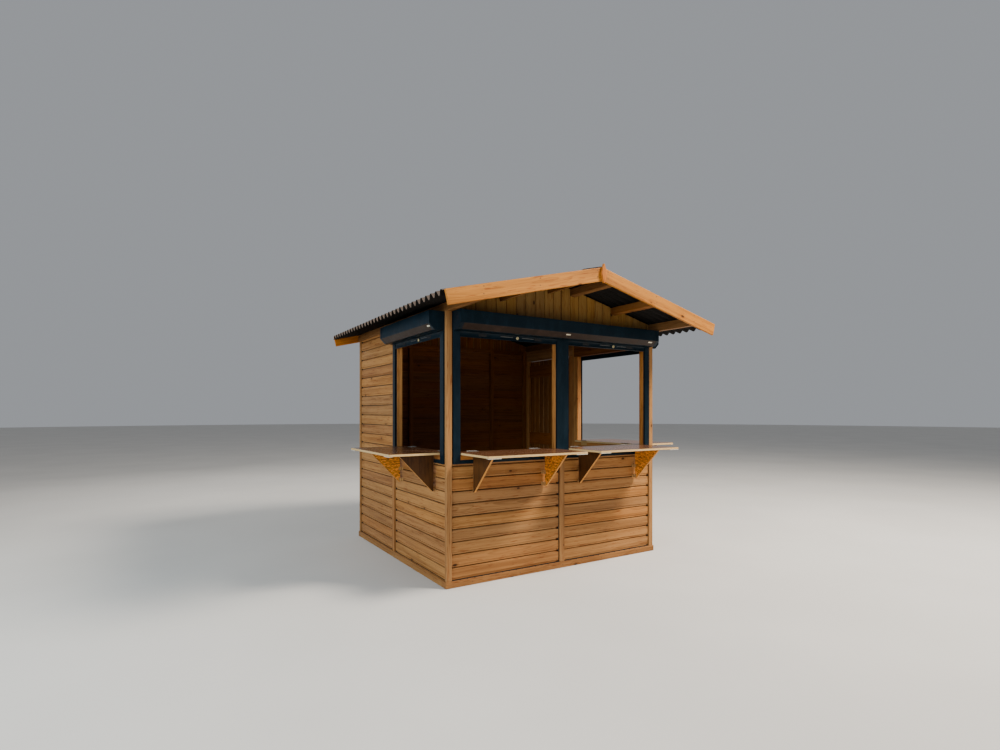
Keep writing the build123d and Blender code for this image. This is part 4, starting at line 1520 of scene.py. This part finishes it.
BRACKET_TOP = SHELF_BOTTOM - 0.0003
BRACKET_INSET = 0.110
BRACKET_THICKNESS = 0.018
BRACKET_HEIGHT = 0.290
BRACKET_NEAR = -0.008
BRACKET_FAR = BRACKET_NEAR - 0.280
BRACKET_TIP = 0.012
BRACKET_EDGE = 0.001
FIXED_LEAF_EDGE = 0.0004
HINGE_DROPS = (0.173, 0.269)
HALF_HINGE = 0.015
BRACKET_PIVOT_V = -0.006
BRACKET_PIVOT_OUT = 0.006
SWING_LEAF = 0.0022
SWING_LEAF_V = (-0.022, -0.006)
NECK_V = (-0.0085, -0.0065)
SWING_SCREW_V = -0.016
SWING_SCREW_INSET = 0.008


class STALL_OT_brackets(bpy.types.Operator):
    """Makes the swing-out shelf brackets with their hinge leaves"""

    bl_idname = "stall.brackets"
    bl_label = "Brackets"

    def execute(self, context):
        for name, wall, start, end in hatches():
            for side, edge, sign in zip(BRACKETS[wall], (start, end), (1, -1)):
                node = name + "_bracket_" + side
                outer_face = edge + sign * BRACKET_INSET
                self.plate(node, wall, outer_face, sign)
                self.leaves(node, wall, outer_face + sign * BRACKET_THICKNESS, sign)
        leaves = Shape().take_nodes("hinge_leaves").ease(FIXED_LEAF_EDGE, segments=1)
        piece = leaves.done("fixed_hinge_leaves", chosen("yellow_zinc"))
        settle(piece, stands_for=["hinge_leaves"])
        return {"FINISHED"}

    def plate(self, node, wall, outer_face, sign):
        """A triangular board: film outside, bare strands inside, a pale sawn edge."""
        top, near, far = BRACKET_TOP, BRACKET_NEAR, BRACKET_FAR
        foot = top - BRACKET_HEIGHT
        section = [
            (near, top), (near, foot), (near - BRACKET_TIP, foot), (far, top - BRACKET_TIP), (far, top)]
        shape = Shape()
        shape.run(section, outer_face, outer_face + sign * BRACKET_THICKNESS, finish=2)
        shape.ease(BRACKET_EDGE, segments=1)
        shape.refinish(0, lambda normal: normal.x * sign < -0.9)
        shape.refinish(1, lambda normal: normal.x * sign > 0.9)
        shape.place(wall_place(wall))
        piece = shape.done(node + "_plate", chosen("bracket_film", "strand", "strand_edge"))
        settle(piece, body=node, stands_for=[node])

    def leaves(self, node, wall, inner_face, sign):
        """The swinging leaves with their knuckles and screws."""
        leaf = sorted((inner_face + sign * SKIN, inner_face + sign * SWING_LEAF))
        pivot_u = inner_face + sign * BRACKET_PIVOT_OUT
        neck = sorted((inner_face + sign * SKIN, pivot_u))
        shape = Shape()
        for drop in HINGE_DROPS:
            z = (BRACKET_TOP - drop - HALF_HINGE, BRACKET_TOP - drop + HALF_HINGE)
            shape.box(leaf, SWING_LEAF_V, z)
            shape.box(neck, NECK_V, z)
            pin = (pivot_u, BRACKET_PIVOT_V, z[0])
            knuckle_row(shape, pin, (0, 0, 1), 2 * HALF_HINGE, 3, radius=0.0039, gap=0.0006)
            for height in (z[0] + SWING_SCREW_INSET, z[1] - SWING_SCREW_INSET):
                place = (inner_face + sign * SWING_LEAF, SWING_SCREW_V, height)
                screw_head(shape, place, (sign, 0, 0), radius=0.003)
        shape.place(wall_place(wall))
        settle(shape.done(node + "_leaves", chosen("yellow_zinc"), smooth=32), body=node)


# Side door: its planks, and the tongues and ledges behind them

PLANK_THICKNESS = 0.018
HALF_PLANK_JOINT = 0.001
LEDGE_HEIGHT = 0.14
LEDGE_INSET = 0.004
LEDGE_ABOVE_FOOT = 0.06
LEDGE_BELOW_HEAD = 0.20
PLANK_EDGE = 0.003
LEVER_EDGE = 0.001
DOOR_TONGUE = (0.006, 0.012)
TONGUE_END_GAP = 0.001


class STALL_OT_door(bpy.types.Operator):
    """Makes the planked side door with its lining and handle"""

    bl_idname = "stall.door"
    bl_label = "Side door"

    def execute(self, context):
        sizes = context.scene.stall_boards
        shape = self.planks(sizes)
        # The ledges inside take the painted shade of the interior
        shape.take(self.ledges(sizes).done("ledges", []), finish=1)
        shape.place(wall_place("right"))
        piece = shape.done("planked_side_door", chosen("cladding", "inner_face"))
        mark_grain(piece, 501)
        settle(piece, stands_for=["side_door"])
        timber_piece("door_lining", ["door_jambs"], "inside", sizes.edge, 502)
        timber_piece("door_head_boards", ["door_head"], "cladding", sizes.edge, 503)
        handle = Shape().take_nodes("door_handle").ease(LEVER_EDGE, sharp=50)
        settle(handle.done("door_lever", chosen("zinc"), smooth=35), stands_for=["door_handle"])
        return {"FINISHED"}

    def planks(self, sizes):
        """The upright planks, with a tongue behind each joint."""
        start, end = wall_span("side_door", "right")
        low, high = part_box("side_door")
        face = HALF_WIDTH - high.x
        step = (end - start) / sizes.door_planks
        shape = Shape()
        for index in range(sizes.door_planks):
            left = start + index * step
            ends = (left + HALF_PLANK_JOINT, left + step - HALF_PLANK_JOINT)
            shape.box(ends, (face, face + PLANK_THICKNESS), (low.z, high.z))
        shape.ease(PLANK_EDGE, segments=1)
        tongue_v = [face + depth for depth in DOOR_TONGUE]
        tongue_z = (low.z + TONGUE_END_GAP, high.z - TONGUE_END_GAP)
        for index in range(1, sizes.door_planks):
            joint = start + index * step
            shape.box((joint - sizes.cover, joint + sizes.cover), tongue_v, tongue_z)
        # The planks' inner faces take the painted shade of the interior
        return shape.refinish(1, lambda normal: normal.y > 0.9)

    def ledges(self, sizes):
        """The three ledges on the door's inner face."""
        start, end = wall_span("side_door", "right")
        low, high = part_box("side_door")
        v = (HALF_WIDTH - high.x + PLANK_THICKNESS, HALF_WIDTH - low.x)
        middle = (low.z + high.z) / 2
        shape = Shape()
        bottoms = (low.z + LEDGE_ABOVE_FOOT, middle - LEDGE_HEIGHT / 2, high.z - LEDGE_BELOW_HEAD)
        for bottom in bottoms:
            shape.box((start + LEDGE_INSET, end - LEDGE_INSET), v, (bottom, bottom + LEDGE_HEIGHT))
        return shape.ease(sizes.edge)


# Screws: five in each base rail, and two over each other at each purlin's end

HEAD_PROFILE = ((-0.002, 0.0045), (0.0003, 0.0045), (0.0003, 0.0022), (-0.0012, 0.0014))
RAIL_SCREWS = 5
RAIL_SCREW_OUT = -0.007
BARGE_SCREWS = (0.055, 0.60, HALF_WIDTH - 0.03)
BARGE_SCREW_DROPS = (0.028, 0.080)
BARGE_FRONT = 0.020
BARGE_LIFT = 0.045


class STALL_OT_screws(bpy.types.Operator):
    """Sets the screws of the base rails and of the front bargeboards"""

    bl_idname = "stall.screws"
    bl_label = "Screws"

    def execute(self, context):
        head = Shape()
        head.turned((0, 0, 0), (0, -1, 0), HEAD_PROFILE, sides=12)
        pattern = head.done("pattern", chosen("nail"))
        tree = scatter_tree()
        settings = {"Piece": pattern, "Turn": (0.0, 3.1, 0.0), "Finish": finishes["nail"]}
        gathered = Shape()
        for number, wall in enumerate(WALLS):
            length = WIDTH if wall in ("front", "rear") else Y_REAR - Y_FRONT
            spacing = length / RAIL_SCREWS
            points = [
                (spacing * (index + 0.5), RAIL_SCREW_OUT, RAIL_TOP * 0.5) for index in range(RAIL_SCREWS)]
            made = grow("screws", tree, {**settings, "Seed": 60 + number}, points)
            placed = Shape().take(made).place(wall_place(wall))
            gathered.take(placed.done("screws", []))
        points = [
            (side * x, ROOF_FRONT - BARGE_FRONT, rafter_line(x) + BARGE_LIFT - drop)
            for side in (-1, 1) for x in BARGE_SCREWS for drop in BARGE_SCREW_DROPS]
        gathered.take(grow("screws", tree, {**settings, "Seed": 70}, points))
        discard(pattern)
        settle(gathered.done("timber_screws", chosen("nail"), smooth=32))
        return {"FINISHED"}


# Studio: its floor, the camera's sensor in millimetres, and the point that the lamps face

FLOOR_RADIUS = 60.0
FLOOR_SIDES = 96
FLOOR_DROP = 0.0002
SENSOR_WIDTH = 36.0
AIM = Vector((0, 0, 1.1))


class STALL_OT_studio(bpy.types.Operator):
    """Lays the pale floor and sets the soft lights and the camera"""

    bl_idname = "stall.studio"
    bl_label = "Studio"

    def execute(self, context):
        studio = context.scene.stall_studio
        self.floor(context.scene.stall_colours)
        self.lights(studio)
        self.sky(context.scene, studio)
        self.camera(context.scene, studio)
        return {"FINISHED"}

    def floor(self, colours):
        angles = [2 * pi * index / FLOOR_SIDES for index in range(FLOOR_SIDES)]
        ring = [(FLOOR_RADIUS * cos(angle), FLOOR_RADIUS * sin(angle), -FLOOR_DROP) for angle in angles]
        mesh = bpy.data.meshes.new("studio_floor")
        mesh.from_pydata(ring, [], [tuple(range(FLOOR_SIDES))])
        mesh.materials.append(studio_floor("pale screed", colours.floor))
        new_object("studio_floor", mesh)

    def lights(self, studio):
        """Each lamp: its name, place, power, size and tint."""
        lamps = (
            ("key", (4.4, -4.6, 7.8), studio.key, 2.2, (1.0, 0.92, 0.82)),
            ("fill", (-7.0, -2.4, 3.2), studio.fill * 2.2, 4.0, (0.74, 0.90, 1.0)),
            ("back", (-2.0, 7.0, 5.5), studio.fill, 4.0, (1.0, 0.97, 0.92)),
        )
        for name, place, power, size, tint in lamps:
            lamp = bpy.data.lights.new(name, "AREA")
            lamp.energy = power
            lamp.size = size
            lamp.color = tint
            holder = new_object(name, lamp)
            holder.location = place
            holder.rotation_euler = (AIM - Vector(place)).to_track_quat("-Z", "Y").to_euler()

    def sky(self, scene, studio):
        world = bpy.data.worlds.new("studio light")
        world.use_nodes = True
        background = world.node_tree.nodes["Background"]
        background.inputs["Color"].default_value = (0.90, 0.94, 1.0, 1.0)
        background.inputs["Strength"].default_value = studio.sky
        scene.world = world

    def camera(self, scene, studio):
        data = bpy.data.cameras.new("camera")
        data.sensor_width = SENSOR_WIDTH
        data.lens = studio.lens_share * SENSOR_WIDTH
        data.shift_y = studio.rise
        data.clip_end = 300.0
        holder = new_object("camera", data)
        holder.location = studio.camera_place
        holder.rotation_euler = (radians(90), 0, -studio.camera_turn)
        scene.camera = holder


OPERATORS = (
    STALL_OT_finishes, STALL_OT_cladding, STALL_OT_timbers, STALL_OT_gables, STALL_OT_roof,
    STALL_OT_shutter_boxes, STALL_OT_guide_rails, STALL_OT_end_slats, STALL_OT_shelves,
    STALL_OT_brackets, STALL_OT_door, STALL_OT_screws, STALL_OT_studio,
)
SETTINGS = {
    "stall_boards": StallBoards, "stall_shutters": StallShutters,
    "stall_colours": StallColours, "stall_studio": StallStudio,
}


class STALL_PT_panel(bpy.types.Panel):
    """Lists the steps that dress the stall"""

    bl_idname = "STALL_PT_panel"
    bl_label = "Timber market stall"
    bl_space_type = "VIEW_3D"
    bl_region_type = "UI"
    bl_category = "Stall"

    def draw(self, context):
        for step in OPERATORS:
            self.layout.operator(step.bl_idname)
        for name, group in SETTINGS.items():
            box = self.layout.box()
            box.label(text=group.bl_rna.name)
            for key in group.__annotations__:
                box.prop(getattr(context.scene, name), key)


def register():
    for group in SETTINGS.values():
        bpy.utils.register_class(group)
    for step in OPERATORS + (STALL_PT_panel,):
        bpy.utils.register_class(step)
    for name, group in SETTINGS.items():
        setattr(bpy.types.Scene, name, PointerProperty(type=group))


def unregister():
    for name in SETTINGS:
        delattr(bpy.types.Scene, name)
    for step in (STALL_PT_panel,) + OPERATORS[::-1]:
        bpy.utils.unregister_class(step)
    for group in SETTINGS.values():
        bpy.utils.unregister_class(group)


def main():
    """Dresses the stall step by step."""
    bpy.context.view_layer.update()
    register()
    for step in OPERATORS:
        group, name = step.bl_idname.split(".")
        result = getattr(getattr(bpy.ops, group), name)()
        if result != {"FINISHED"}:
            raise RuntimeError(step.bl_idname + " did not finish")


if __name__ == "__main__":
    main()
